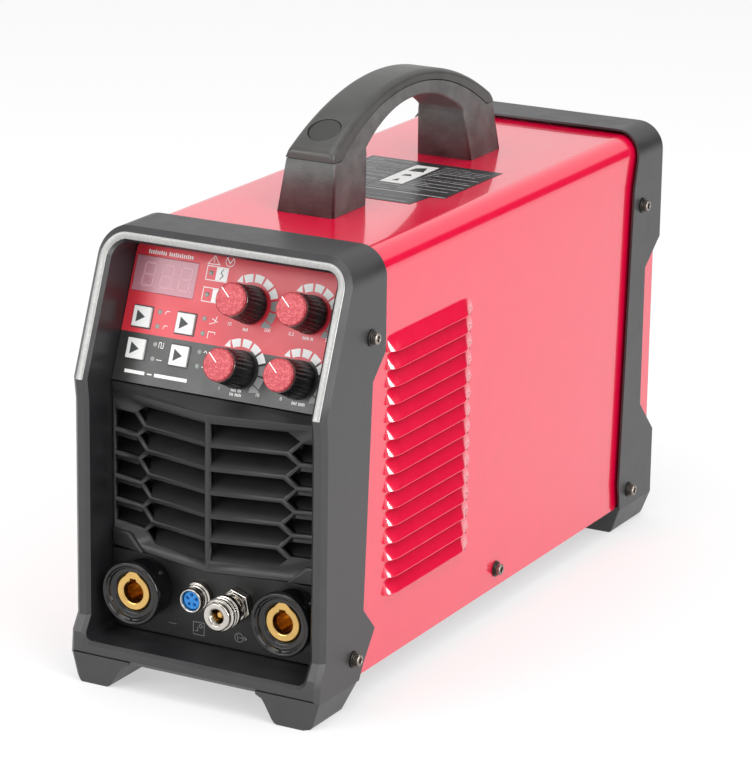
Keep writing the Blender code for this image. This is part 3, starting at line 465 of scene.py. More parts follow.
def turned_piece(name, profile, finish, origin, segments=72, rounding=(0.3, 3), stands_for=None, sharp=35):
    """A turned piece of the housing, whose axis runs back from its origin."""
    mesh = turned(rounded(profile, *rounding), segments)
    return fixed(name, aim(mesh, BACK, origin), finish, stands_for, sharp)


def interpolate(table, at):
    for (a, first), (b, second) in zip(table, table[1:]):
        if at <= b:
            share = max(0, (at - a) / (b - a))
            return first + share * (second - first)
    return table[-1][1]


def arc(centre, radius, start, end, steps):
    angles = [math.radians(start + (end - start) * i / steps) for i in range(steps + 1)]
    return [(centre[0] + radius * math.cos(a), centre[1] + radius * math.sin(a)) for a in angles]


def smooth(share):
    return share * share * (3 - 2 * share)


def panel_point(across, up, out=0):
    return Vector(PANEL_FOOT) + PANEL_TURN @ Vector((across, up, out))


def on_panel(mesh, across=0, up=0, out=PRINT_LIFT):
    return put(mesh, Matrix.Translation(panel_point(across, up, out)) @ PANEL_TURN.to_4x4())


# The frames

def lower_corner(side, angle, inset):
    """A point of the corner above a foot: square near the frame's outside, round further in."""
    across, down = math.cos(math.radians(angle)), math.sin(math.radians(angle))
    reach = FOOT_CORNER - inset
    if inset <= FACE_CHAMFER:
        reach /= max(abs(across), abs(down))
    return side * (HALF_WIDTH - FOOT_CORNER) + reach * across, FRAME_FOOT + FOOT_CORNER + reach * down


def upper_corner(side, angle, inset):
    across, up = math.cos(math.radians(angle)), math.sin(math.radians(angle))
    reach = FRAME_CORNER - inset
    return side * (HALF_WIDTH - FRAME_CORNER) + reach * across, HEIGHT - FRAME_CORNER + reach * up


def straight_side(side, level, inset):
    return side * (HALF_WIDTH - inset), level


def corner_points(corner, side, start, steps):
    return [partial(corner, side, start + 90 * step / steps) for step in range(steps + 1)]


def frame_outline(levels):
    """Points round a frame's front view, each a function that gives (x, z) for an inset."""
    outline = corner_points(lower_corner, 1, 270, FOOT_CORNER_STEPS)
    outline += [partial(straight_side, 1, level) for level in levels]
    outline += corner_points(upper_corner, 1, 0, FRAME_CORNER_STEPS)
    outline += corner_points(upper_corner, -1, 90, FRAME_CORNER_STEPS)
    outline += [partial(straight_side, -1, level) for level in reversed(levels)]
    return outline + corner_points(lower_corner, -1, 180, FOOT_CORNER_STEPS)


def section_ring(point, section):
    """The section's (inset, y) pairs as points. Their y may be a function of height."""
    height = point(0)[1]
    ring = []
    for inset, y in section:
        x, z = point(inset)
        ring.append((x, y(height) if callable(y) else y, z))
    return ring


def framed_ring(section, levels):
    return loft([section_ring(point, section) for point in frame_outline(levels)], closed_ends=False)


def foot(side, front, rear, front_chamfer):
    """A frame's foot as level slices. front and rear give its y at a height."""
    inner = [(0, 62), (1, 60), (3, 58.3), (12, 53), (15, 50.8), (17, 46.5), (19, 46)]
    outer = [(0, 84), (1.5, 85.6), (18, HALF_WIDTH - 0.1)]
    rings = []
    for z, inner_x in inner:
        outer_x = interpolate(outer, z)
        y_front, y_rear = front(z) + 0.1, rear(z)
        corners = [(inner_x, y_front), (outer_x - front_chamfer, y_front),
                   (outer_x, y_front + front_chamfer), (outer_x, y_rear), (inner_x, y_rear)]
        rings.append([(side * x, y, z) for x, y in corners])
    return loft(rings)


def front_face(z):
    return interpolate(FACE_Y, z)


def front_skirt(z):
    return max(COVER_FRONT + 0.5, interpolate(SKIRT_Y, z))


def finish_frame(made):
    """Flat faces with small rounded edges."""
    made.data.set_sharp_from_angle(angle=math.radians(9))
    weld(made, 0.02)
    bevel(made, 0.45, 2, 22)
    apply_modifiers(made)


def build_front_frame():
    inner_chamfer = 2.3
    slot_y = COVER_FRONT - GAP
    tunnel = partial(interpolate, TUNNEL_Y)
    ring = framed_ring([
        (0, lambda z: front_face(z) + FACE_CHAMFER),
        (FACE_CHAMFER, front_face),
        (RECESS_INSET - inner_chamfer, front_face),
        (RECESS_INSET, lambda z: front_face(z) + inner_chamfer),
        (RECESS_INSET, tunnel),
        (TUNNEL_INSET, tunnel),
        (TUNNEL_INSET, slot_y),
        (WALL_INSET, slot_y),
        (WALL_INSET, front_skirt),
        (0, front_skirt),
    ], FRONT_LEVELS)
    made = fixed("front_frame_shell", ring, black_plastic, "front_frame")
    for side in (-1, 1):
        boolean(made, foot(side, front_face, partial(interpolate, SKIRT_Y), FACE_CHAMFER), "UNION")
    boolean(made, cuboid((-COVER_HALF - GAP, slot_y, COVER_BOTTOM - GAP), (COVER_HALF + GAP, 100, 60)))
    finish_frame(made)


def build_front_trim():
    """The silver strip let into the sloping part of the face: an inverted U, open at the bend."""
    sunk = 0.05
    section = [(inset, lambda z, out=out: front_face(z) - out - sunk)
               for inset, out in ((3.6, 0), (3.7, 0.45), (4.1, 0.7), (7.8, 0.7), (8.2, 0.45), (8.3, 0))]
    upper = [point for point in frame_outline(FRONT_LEVELS) if point(0)[1] >= FACE_BEND]
    strip = loft([section_ring(point, section) for point in upper])
    fixed("trim_strip", strip, silver_trim, "front_trim", sharp=50)


def build_rear_frame():
    lip, edge_chamfer, edge_wall, edge_depth = COVER_REAR + GAP, 1.2, 1.5, 14
    edge = partial(interpolate, REAR_EDGE_Y)
    ring = framed_ring([
        (0, edge),
        (0, REAR_Y - edge_chamfer),
        (edge_chamfer, REAR_Y),
        (RECESS_INSET - edge_chamfer, REAR_Y),
        (RECESS_INSET, REAR_Y - edge_chamfer),
        (RECESS_INSET, REAR_INSIDE),
        (TUNNEL_INSET, REAR_INSIDE),
        (TUNNEL_INSET, lip),
        (WALL_INSET, lip),
        (WALL_INSET, lambda z: edge(z) + edge_depth),
        (edge_wall, lambda z: edge(z) + edge_depth),
        (edge_wall, edge),
    ], REAR_LEVELS)
    made = fixed("rear_frame_shell", ring, black_plastic, "rear_frame")
    for side in (-1, 1):
        boolean(made, foot(side, edge, partial(interpolate, REAR_FOOT_Y), 0.6), "UNION")
    inner, outer, beyond = COVER_HALF - SHEET - GAP, COVER_HALF + GAP, HALF_WIDTH + 4.5
    low = COVER_BOTTOM - GAP
    boolean(made, cuboid((-outer, 400, low), (outer, REAR_INSIDE - 1, 60)))
    notch = [(REAR_Y + 5, 58.5), (459, 89), (459, 190), (REAR_Y + 5, 213.2)]
    for side in (-1, 1):
        slot = sorted((side * inner, side * outer))
        boolean(made, cuboid((slot[0], REAR_INSIDE - 3, low), (slot[1], lip, 60)))
        boolean(made, prism(notch, *sorted((side * inner, side * beyond))))
    finish_frame(made)


# The cover

def louvre_profile(share):
    """How far a hood stands out, from its root (0) to its lip (1): a fillet, a slope, a rolled lip."""
    fillet, roll = 0.2, 0.94
    if share < fillet:
        return share ** 2 / (2 * fillet)
    height = min(share, roll) - fillet / 2
    if share > roll:
        over = share - roll
        height += over - over ** 2 / (2 * (1 - roll))
    return height


def louvre_hood(side, root):
    """One hood as a solid: upright slices along y, whose ends sink below the sheet's surface."""
    sunk, full = 0.4, louvre_profile(1)
    shares = [0, 0.05, 0.1, 0.15, 0.2, 0.35, 0.5, 0.65, 0.8, 0.94, 0.955, 0.97, 0.985, 1]
    turns = [math.radians(5 * step) for step in range(19)]
    ends = [(LOUVRE_FRONT + LOUVRE_FRONT_END * (1 - math.cos(turn)), math.sin(turn)) for turn in turns]
    ramp, steps = LOUVRE_REAR - LOUVRE_REAR_END, 32
    ends += [(ramp + LOUVRE_REAR_END * i / steps, smooth(1 - i / steps)) for i in range(steps + 1)]
    wall = COVER_HALF - sunk
    rings = []
    for y, end in ends:
        ring = []
        for share in shares:
            out = (sunk + LOUVRE_OUT * louvre_profile(share) / full) * end
            ring.append((side * (wall + out), y, root - share * LOUVRE_DROP))
        ring.append((side * (wall - 0.3), y, root - LOUVRE_DROP + 0.6))
        ring.append((side * (wall - 0.3), y, root - 0.6))
        rings.append(ring)
    return loft(rings)


def build_cover():
    """The wrap-round sheet, as rows from its right foot over the top to its left foot."""
    outline = [(COVER_HALF, COVER_BOTTOM), (COVER_HALF, 130), (COVER_HALF, 245)]
    outline += arc((COVER_HALF - COVER_CORNER, COVER_TOP - COVER_CORNER), COVER_CORNER, 0, 90, 14)
    outline += [(45, COVER_TOP), (0, COVER_TOP)]
    outline += [(-x, z) for x, z in reversed(outline[:-1])]
    columns = [COVER_FRONT + (COVER_REAR - COVER_FRONT) * step / 8 for step in range(9)]
    mesh = bmesh.new()
    last = None
    for x, z in outline:
        row = [mesh.verts.new((x, y, z)) for y in columns]
        if last:
            skin(mesh, last, row, around=False)
        last = row
    bmesh.ops.recalc_face_normals(mesh, faces=mesh.faces)
    highest = max(mesh.faces, key=lambda face: face.calc_center_median().z)
    if highest.normal.z < 0:
        bmesh.ops.reverse_faces(mesh, faces=mesh.faces)
    made = fixed("cover_sheet", mesh, red_paint, "cover_shell", recalculate=False)
    thick = made.modifiers.new("Solidify", "SOLIDIFY")
    thick.thickness = SHEET * MM
    thick.offset = -1
    apply_modifiers(made)
    made.data.set_sharp_from_angle(angle=math.radians(40))


def build_louvres():
    """The hoods, and a dark strip under each one's lip, painted shade for the shadow and the dark opening
    there.
    """
    hoods, lip_shades = [], []
    for side in (-1, 1):
        for number in range(LOUVRES):
            root = LOUVRE_TOP - number * LOUVRE_PITCH
            lip = root - LOUVRE_DROP
            hoods.append(louvre_hood(side, root))
            # A dark strip just under the lip: painted shade, not a part of the sheet.
            lip_shades.append(cuboid((side * (COVER_HALF + 0.2), LOUVRE_FRONT + 7, lip - 0.08),
                                (side * (COVER_HALF + LOUVRE_OUT - 1.2), LOUVRE_REAR - 14, lip + 0.1)))
    fixed("cover_louvres", join(hoods), red_paint, sharp=38)
    fixed("cover_lip_shades", join(lip_shades), rubber)


def build_screw(name, side, y, z, seat_x):
    """A knurled head with a round recess, on two washers, standing on the side wall.

    The knurl runs between the first and the last of these rings of the rounded profile.
    """
    knurls, knurl, first, last = 32, 0.09, 3, 12
    washer = turned(rounded([(2, 0.1), (5.4, 0.1), (5.4, 1.1), (2, 1.1)], 0.25), 40)
    spring = turned(rounded([(2, 1.1), (4.4, 1.1), (4.4, 1.9), (2, 1.9)], 0.25), 40)
    profile = rounded([(0, 1.7), (3.6, 1.7), (3.7, 2.2), (3.7, 4.4), (3.3, 4.9), (2.1, 4.9), (1.9, 4.7),
                       (1.9, 2.9), (0, 2.6)], 0.25, 2)

    def ripple(angle, index):
        return knurl * math.cos(knurls * angle) if first < index < last else 0

    seat = {"direction": (side, 0, 0), "origin": (side * seat_x, y, z)}
    fixed(name + "_washer", join([aim(washer, **seat), aim(spring, **seat)]), black_steel)
    fixed(name + "_head", aim(turned(profile, 64, ripple), **seat), dark_steel, name)


def build_screws():
    for label, side in SIDES.items():
        for end, places in (("front", FRONT_SCREWS), ("rear", REAR_SCREWS)):
            for row, place in places.items():
                build_screw(f"{end}_screw_{label}_{row}", side, *place, HALF_WIDTH)
        build_screw(f"cover_screw_{label}", side, *COVER_SCREW, COVER_HALF)


# The handle

def handle_half(z):
    """Half the handle's width at a height."""
    return HANDLE_HALF - HANDLE_TAPER * (z - COVER_TOP)


def handle_prism(outline, weight):
    """The outline (y, z) as a solid whose sides lean in towards the top. weight gives a rim edge's bevel."""
    mesh = bmesh.new()
    rings = [[mesh.verts.new((side * handle_half(z), y, z)) for y, z in outline] for side in (-1, 1)]
    skin(mesh, *rings)
    mesh.faces.new(rings[0])
    mesh.faces.new(rings[1][::-1])
    layer = mesh.edges.layers.float.new("bevel_weight_edge")
    for ring in rings:
        for i, start in enumerate(outline):
            j = (i + 1) % len(outline)
            mesh.edges.get((ring[i], ring[j]))[layer] = weight(start, outline[j])
    return mesh


def bow(half_span, low, high, steps):
    """Points (y, z) of an arc over the handle's middle, from its front end to its rear end."""
    rise = high - low
    radius = (half_span ** 2 + rise ** 2) / (2 * rise)
    reach = math.degrees(math.asin(half_span / radius))
    return arc((HANDLE_MIDDLE, high - radius), radius, 90 + reach, 90 - reach, steps)


def mirrored(points):
    """The same points reflected in the handle's middle, in reverse order."""
    return [(2 * HANDLE_MIDDLE - y, z) for y, z in reversed(points)]


def build_handle():
    bottom = COVER_TOP + 0.1
    front = HANDLE_FRONT + HANDLE_LEAN
    seam = bow(99, HANDLE_SEAM + 1.2, 351.4, 40)
    inner = bow(HANDLE_INNER_TOP, 322, 342.8, 40)
    foot_points = [(HANDLE_MIDDLE - HANDLE_INNER_FOOT, bottom), (HANDLE_MIDDLE - HANDLE_INNER_TOP, 318.5)]
    lead = [(HANDLE_FRONT, bottom), (front, HANDLE_SEAM), (front + HANDLE_LEDGE, HANDLE_SEAM)]
    body = lead + seam + mirrored(lead) + mirrored(foot_points)[::-1] + inner[::-1] + foot_points[::-1]
    top = set(seam + lead[1:] + mirrored(lead[1:]))
    base = {point for point in body if point[1] == bottom}
    outer = {*lead[:2], *mirrored(lead[:2])}

    def weight(a, b):
        ends = {a, b}
        if ends <= base:
            return 0
        if ends <= top:
            return 0.1
        return 1 if ends <= outer else 0.6

    made = fixed("handle_base", handle_prism(body, weight), handle_plastic, "handle_body")
    bevel(made, 3.2, 4, weighted=True)
    apply_modifiers(made)
    build_grip(front, seam)


def build_grip(front, seam):
    """The cap over the arch, as upright slices from front to rear with rounded upper corners."""
    gap = 0.6
    low = HANDLE_SEAM + gap
    curl = ((0, 2.6), (0.12, 4), (0.5, 5.2), (1.2, 6.3), (2.2, 7.3))
    nose = [(front + back, low + up) for back, up in curl]
    top = nose + bow(106.6, 328.6, HANDLE_TOP, 60)[1:-1] + mirrored(nose)
    under = [(front, low), (front + HANDLE_LEDGE, low), *[(y, z + gap) for y, z in seam]]
    under += mirrored(under[:2])
    corner_x, corner_z, steps = 4.8, 4.4, 7
    rings = []
    for y, z in top:
        floor = interpolate(under, y)
        drop = min(corner_z, (z - floor) * 0.85)
        right = [(handle_half(floor), y, floor)]
        for step in range(steps + 1):
            angle = math.pi / 2 * step / steps
            x = handle_half(z) - corner_x * (1 - math.cos(angle))
            right.append((x, y, z - drop * (1 - math.sin(angle))))
        rings.append(right + [(-x, y, zz) for x, y, zz in reversed(right)])
    cap = fixed("handle_cap", loft(rings), grip_plastic, "handle_grip")
    for side, label in ((-1, "front"), (1, "rear")):
        build_plug(cap, side, label)
    cap.data.set_sharp_from_angle(angle=math.radians(38))


def build_plug(cap, side, label):
    """A round cover let into the cap, with a small notch in its rim."""
    lean = math.radians(28.5)
    reach = 10.3
    direction = Vector((0, side * math.sin(lean), math.cos(lean)))
    seat = Vector((0, HANDLE_MIDDLE + side * 92, 336.3)) - direction * 4.2
    boolean(cap, rod(11.2, seat, direction, 12))
    plug = turned(rounded([(0, 0.3), (10.85, 0.3), (10.85, 3.7), (10.3, 4.1), (0, 4.25)]), 72)
    made = fixed("handle_cover_" + label, aim(plug, direction, seat), handle_cover_plastic,
                 "handle_plug_" + label)
    notch = seat + Vector((side * 4.5, side * 0.88 * reach, -0.48 * reach)) + direction * 3
    boolean(made, rod(0.8, notch, direction, 4, 16))


# The front

def grille_face(x):
    return GRILLE_RIB_Y + GRILLE_SWEEP * abs(x)


def grille_row(row):
    """The height of a row's upper edge, and how far out its long opening reaches before its point."""
    return GRILLE_TOP - GRILLE_RIM - row * GRILLE_PITCH, GRILLE_WAIST - row * GRILLE_WAIST_STEP


def grille_cells(row):
    """Outlines (x, z) of a row's long opening, pointed at its outer end, and of the short one outside it."""
    top, waist = grille_row(row)
    bottom = top - GRILLE_PITCH + GRILLE_BAR
    middle = (top + bottom) / 2 + 1
    rib = 1.6
    yield [(rib, bottom), (waist, bottom), (waist + GRILLE_POINT, middle), (waist, top), (rib, top)]
    if row == GRILLE_ROWS - 1:
        return
    outer, half_bar = 77.4, GRILLE_BAR / 2
    waist += 1.9
    point = waist + 7.2
    high, low = middle - half_bar, middle - GRILLE_PITCH + half_bar
    yield [(outer, low), (point - 1.4, low), (waist, bottom - half_bar), (point, high), (outer, high)]


def grille_slat(side, front, rear, z):
    """A slat that slopes up and back from a bar. front and rear are its ends (x) at its long edges."""
    sunk, depth, rise, half = 0.8, 15, 12.5, 1.1
    rings = []
    for front_x, rear_x in zip(front, rear):
        front_y, rear_y = grille_face(front_x) + sunk, grille_face(rear_x) + depth
        section = [(front_x, front_y, -half), (front_x, front_y, half), (rear_x, rear_y, rise + half),
                   (rear_x, rear_y, rise - half)]
        rings.append([(side * x, y, z + up) for x, y, up in section])
    return loft(rings)


def grille_corner(side):
    """The block that fills a lower corner of the grille."""
    low, high = GRILLE_BOTTOM + 0.4, GRILLE_BOTTOM + 11
    outline = [(78.9, low), (78.9, high), (64, high), (52.5, low)]
    rings = []
    for out, shrink in ((0.2, 0), (-1.6, 0), (-2.6, 1.4)):
        ring = []
        for index, (x, z) in enumerate(outline):
            inner = x - shrink if index < 2 else x + shrink * 0.8
            ring.append((side * inner, grille_face(x) + out, z - shrink if index in (1, 2) else z))
        rings.append(ring)
    return loft(rings)


def grille_shade_plate(side):
    """A dark plate that follows the V behind the slats: painted shade for the dark depth of the case, which
    also closes the view into it.
    """
    behind, thick, low, high = 17, 1, 74, 192
    rings = []
    for x in (0, 79):
        y = grille_face(x) + behind
        rings.append([(side * x, y + deep, z) for deep, z in rectangle(0, low, thick, high)])
    return loft(rings)


def grille_blank():
    """The grille before its openings are cut: a V in plan, with a ledge that runs back above it."""
    half, thick, shelf, hem = RECESS_X - GAP, 5, 1.2, 1.5
    top, low, ledge_y, ledge_z = GRILLE_TOP, GRILLE_BOTTOM, 26.6, 190.6
    rings = []
    for x in (-half, 0, half):
        y = grille_face(x)
        rings.append([(x, y, top), (x, y, low), (x, y + 3, low - hem), (x, y + thick, low - hem),
                      (x, y + thick, top - shelf), (x, ledge_y + 8, ledge_z - shelf),
                      (x, ledge_y + 8, ledge_z), (x, ledge_y + 1, ledge_z)])
    return loft(rings)


def build_grille():
    made = fixed("grille_face", grille_blank(), grille_plastic, "front_grille")
    bevel(made, 0.4, 2, 30)
    apply_modifiers(made)
    slats = []
    for side in (-1, 1):
        for row in range(GRILLE_ROWS):
            for cell in grille_cells(row):
                boolean(made, prism([(side * x, z) for x, z in cell], 0, 50, "y"))
            waist = grille_row(row)[1]
            bar = grille_row(row + 1)[0] + GRILLE_BAR / 2
            slats.append(grille_slat(side, (0, waist + 0.4), (0, waist + 7.8), bar))
            if row < GRILLE_ROWS - 1:
                end_bar = bar - GRILLE_PITCH / 2 - GRILLE_BAR + 1
                slats.append(grille_slat(side, (waist + 7.8, 78.8), (waist + 2.2, 78.8), end_bar))
    fixed("grille_slats", join(slats), plate_plastic)
    # A dark plate behind the slats, painted shade for the depth of the case.
    fixed("grille_shade_plate", join(grille_shade_plate(side) for side in (-1, 1)), rubber)
    bevel(fixed("grille_corners", join(grille_corner(side) for side in (-1, 1)), grille_plastic), 0.3)


def build_output_sockets():
    for label, side in SIDES.items():
        build_output_socket(side, label)


def build_output_socket(side, label):
    """A housing with three small holes and a grub screw, round a contact with two keyways and a key."""
    origin = Vector((side * SOCKET_X, SOCKET_FACE, SOCKET_Z))
    body = [(12.4, 28), (19.6, 19.8), (19.6, 6), (20, 5), (21, 4), (21, 1.2), (20.2, 0.1), (18.6, 0),
            (17.6, 1.4), (16.9, 1.6), (16.4, 3.4), (13.6, 3.8), (12.5, 5)]
    made = turned_piece("socket_housing_" + label, body, gloss_black, origin, 96, (0.5, 4),
                        "socket_shell_" + label, 40)
    pin_circle = 17.2
    for angle in (60, 180, 300):
        across, up = math.sin(math.radians(angle)), math.cos(math.radians(angle))
        boolean(made, rod(0.7, origin + Vector((pin_circle * across, -1, pin_circle * up)), BACK, 3.6, 16))
    contact = [(0, 30), (6.5, 30), (6.5, 8), (7.2, 4.4), (8, 4), (11.4, 4), (12.1, 4.8), (12.1, 33), (0, 33)]
    made = turned_piece("socket_brass_" + label, contact, brass, origin, 72, (0.35, 3),
                        "socket_contact_" + label, 40)
    keyway = [(-3, 0), (3, 0), (2.3, 9), (-2.3, 9)]
    boolean(made, put(prism(keyway, 0, 22, "y"), Matrix.Translation(origin)))
    lower = Matrix.Translation(origin + Vector((0, 5, 1.6))) @ Matrix.Rotation(math.pi, 4, "Y")
    boolean(made, put(prism(keyway, 0, 22, "y"), lower))
    bevel(made, 0.3, 2, 40)
    peak = prism([(-6.2, 10.2), (6.2, 10.2), (1.1, 14.9), (-1.1, 14.9)], 0, 6, "y")
    put(peak, Matrix.Translation(origin + Vector((0, 3.95, 0))))
    bevel(fixed("socket_key_" + label, peak, brass), 0.35)
    dot = turned([(0, -0.4), (1, -0.4), (1.3, 0), (1.3, 0.8), (0, 0.8)], 24)
    outward, reach = Vector((0.75, 0, 0.66)), 19.6
    grub = aim(dot, outward, origin + outward * reach + Vector((0, 14, 0)))
    fixed("socket_grub_" + label, grub, nickel)


def build_torch_connector():
    """A shell round an insert with five holes."""
    origin = Vector((TORCH_X, TORCH_FACE, SOCKET_Z))
    shell = [(6.3, 21), (6.3, 1), (6.7, 0.2), (7.4, 0), (7.9, 0.6), (7.9, 3.2), (7.5, 3.5), (7.5, 6.2),
             (8.4, 6.4), (8.4, 7.6), (9.8, 7.9), (9.8, 10.9), (7, 11), (7, 21)]
    turned_piece("torch_shell", shell, nickel, origin, 72, (0.25, 3), "torch_connector_shell")
    face = [(0, 2), (5.6, 2), (6.1, 2.5), (6.1, 19), (0, 19)]
    made = turned_piece("torch_insert", face, blue_nylon, origin, 64, stands_for="torch_connector_insert")
    holes, circle = 5, 3.5
    for hole in range(holes):
        angle = math.pi / 2 + 2 * math.pi * hole / holes
        start = origin + circle * Vector((math.cos(angle), 0, math.sin(angle)))
        boolean(made, rod(1.1, start, BACK, 8, 20))


def build_gas_coupler():
    """A turned body with its core and hexagon nut, and the sleeve that slides on it."""
    origin = (GAS_X, GAS_FACE, SOCKET_Z)
    body = [(3.9, 20), (3.9, 3), (5, 0.9), (6, 0), (8.4, 0), (9.3, 0.9), (9.3, 2.2), (7, 2.6), (7, 19.4),
            (9.6, 19.8), (9.6, 22), (6.5, 22), (6.5, 27.6), (5, 27.6)]
    turned_piece("gas_coupler_body", body, nickel, origin, stands_for="gas_outlet_body")
    core = [(0, 4.6), (1.6, 4.6), (2.9, 6.4), (3.7, 8), (3.7, 15), (0, 15)]
    turned_piece("gas_coupler_core", core, brass, origin, 48)
    nut = turned([(6.6, 22.3), (10.9, 22.3), (11.5, 22.8), (11.5, 27.3), (6.6, 27.3)], 6,
                 turn=math.radians(18))
    bevel(fixed("gas_coupler_nut", aim(nut, BACK, origin), nickel), 0.5, 3, 25)
    sleeve = rounded([(7.3, 0), (9.8, 0), (10.8, 0.9), (10.8, 2.6), (9.9, 3), (9.9, 3.9), (10.8, 4.2),
                      (10.8, 5.6), (9.9, 6), (9.9, 7), (10.8, 7.4), (10.8, 10.6), (10.2, 11.4),
                      (7.3, 11.4)], 0.25)
    pivoted("gas_coupler_ring", aim(turned(sleeve, 96), BACK, (0, 0, 0)), nickel, "gas_coupler",
            (GAS_X, GAS_FACE + 3, SOCKET_Z), Matrix.Identity(3), "gas_coupler_sleeve")


# The control panel

def decal(outline, mesh, height=PRINT, level=0):
    prism(outline, level, level + height, "z", mesh)


def ribbon(points, width, mesh, height=PRINT, closed=False):
    """A thin raised line through (x, y) points, for printed marks."""
    points = [Vector(p) for p in points]
    for i in range(len(points) if closed else len(points) - 1):
        a, b = points[i], points[(i + 1) % len(points)]
        along = (b - a).normalized() * width / 2
        side = Vector((-along.y, along.x))
        corners = [a - along + side, b + along + side, b + along - side, a - along - side]
        decal([tuple(c) for c in corners], mesh, height * (1 + 0.02 * (i % 3)))


def build_scales():
    """The printed scale round each knob: a wedge, four white blocks, two grey ones and an arrow."""
    inner, outer, steps = 14.4, 19.4, 6
    for label, place in KNOBS.items():
        white, grey = bmesh.new(), bmesh.new()
        decal([(-12.6, 13.2), (-9.4, 17.6), (-8.2, 13)], white)
        for mesh, half, middles in ((white, 10, (106, 81, 56, 31)), (grey, 10.5, (5, -20))):
            for middle in middles:
                start, end = middle - half, middle + half
                decal(arc((0, 0), outer, start, end, steps) + arc((0, 0), inner, end, start, steps), mesh)
        decal([(12, -8), (16.6, -10.6), (17.4, -12), (10.2, -13), (10.4, -10.4)], grey)
        fixed("scale_white_" + label, on_panel(white, *place), print_white)
        fixed("scale_grey_" + label, on_panel(grey, *place), print_grey)


def build_numbers():
    """The numbers at the two ends of each knob's scale."""
    places = (("low_amps", "10", -3.8, 39.2), ("high_amps", "200", 23.4, 39.1),
              ("low_pulse", "0.2", 40.4, 39.3), ("high_pulse", "20", 65.6, 39.1),
              ("low_gas", "1", -2.2, -1.2), ("high_gas", "10", 25.1, -1.2),
              ("low_slope", "0", 41.8, -1), ("high_slope", "5", 67, -1))
    link_object = bpy.context.scene.collection.objects.link
    for label, words, across, up in places:
        name = "number_" + label
        curve = bpy.data.curves.new(name, "FONT")
        curve.body = words
        curve.size = 3.1 * MM
        curve.extrude = 0.03 * MM
        curve.align_x = curve.align_y = "CENTER"
        curve.resolution_u = 4
        source = bpy.data.objects.new(name, curve)
        link_object(source)
        bpy.context.view_layer.update()
        data = bpy.data.meshes.new_from_object(source.evaluated_get(bpy.context.evaluated_depsgraph_get()))
        bpy.data.objects.remove(source)
        made = bpy.data.objects.new(name, data)
        link_object(made)
        data.materials.clear()
        data.materials.append(print_white)
        made.matrix_world = Matrix.Translation(ROW @ panel_point(across, up, 0.05)) @ PANEL_TURN.to_4x4()
        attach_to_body(made, "housing")


def strokes(across, up, words, height, mesh, pitch=0.95):
    """Rows of upright strokes centred on a point, where the real panel has words of these lengths."""
    x = across - (sum(words) + len(words) - 1) * pitch / 2
    for count in words:
        for index in range(count):
            tall = height if index % 3 else height * 1.25
            ribbon([(x, up - height / 2), (x, up - height / 2 + tall)], pitch * 0.55, mesh)
            x += pitch
        x += pitch


def ring_points(across, up, radius, steps):
    return arc((across, up), radius, 0, 360, steps)[:-1]


def build_marks():
    """Plain pictograms, and strokes in place of the printed words."""
    mode_boxes = (64.2, 50.6)
    loops = [(0.45, [(-26.9, 74.2), (-22.6, 79.6), (-18.5, 74.4)]), (0.45, ring_points(-11.4, 77.4, 3.1, 24))]
    loops += [(0.5, rectangle(-26.6, low, -11.6, low + 8.8)) for low in mode_boxes]
    lines = [
        (0.5, [(-22.7, 75.4), (-22.7, 77.8)]),
        (0.6, [(-13.4, 79), (-11.4, 76.2), (-9.4, 79)]),
        (0.45, [(-17.6, 37.2), (-14.2, 38.4), (-13.2, 42.2)]),
        (0.45, [(-16.2, 40.6), (-12.2, 39)]),
        (0.45, [(-17.4, 28.4), (-17.4, 32.4), (-12.6, 32.4), (-12.6, 31.2)]),
        (0.4, [(-50.4, 17.2), (-50.4, 20.6), (-48.8, 20.6), (-48.8, 17.2), (-47.2, 17.2), (-47.2, 20.6)]),
        (0.45, [(-50.2, 9.6), (-46.6, 9.6)]),
        (0.4, [(-17.6, 19), (-16.6, 20.2), (-15.6, 19), (-14.6, 17.8), (-13.6, 19)]),
        (0.45, [(-17.4, 10), (-13.6, 10)]),
        (2.2, [(-70.5, -0.2), (-58, -0.2)]),
        (0.8, [(-54.6, -0.2), (-52, -0.2)]),
        (2.2, [(-48.6, -0.2), (-27, -0.2)]),
    ]
    for x, y in ((-50.2, 39.6), (-50, 30.4)):
        lines.append((0.4, [(x, y - 1), (x + 0.8, y + 0.9), (x + 3, y + 1)]))
    white, boxes = bmesh.new(), bmesh.new()
    for width, points in loops:
        ribbon(points, width, white, closed=True)
    for width, points in lines:
        ribbon(points, width, white)
    for low in mode_boxes:
        decal(rectangle(-19.8, low + 0.4, -11.9, low + 8.4), white, 0.05)
        ribbon([(-16.4, low + 1.4), (-14.6, low + 3.6), (-16.4, low + 5.4), (-15, low + 7.6)], 0.55, boxes)
    for across, up, words in ((8.6, 37.3, [4]), (52.8, 38.1, [5, 2]), (10.3, -0.7, [4, 3]),
                              (10.3, -3.4, [3, 5]), (54.8, -2.3, [4, 5])):
        strokes(across, up, words, 1.15, white)
    strokes(-53.5, 76, [9, 12], 1.4, white, 1.5)
    fixed("panel_marks", on_panel(white), print_white)
    fixed("panel_box_marks", on_panel(boxes, out=0.08), print_and_shade_dark)


def build_plate_marks():
    """Thin line drawings under the connectors."""
    plate = bmesh.new()
    for points in (rectangle(-19.6, 32.6, -11.6, 41), ring_points(-14.2, 38.6, 1.1, 12),
                   ring_points(14, 36.4, 3, 20)):
        ribbon(points, 0.35, plate, closed=True)
    for points in ([(-37.6, 36.8), (-32.2, 36.8)], [(-18.2, 35), (-16.4, 35), (-16.4, 37.6)],
                   [(14, 36.4), (19.4, 36.4)], [(18, 37.6), (19.6, 36.4), (18, 35.2)],
                   [(13, 34.8), (13, 38)]):
        ribbon(points, 0.35, plate)
    put(plate, Matrix.Translation((0, PLATE_Y - PRINT_LIFT, 0)) @ Matrix.Rotation(math.pi / 2, 4, "X"))
    fixed("plate_marks", plate, print_grey)


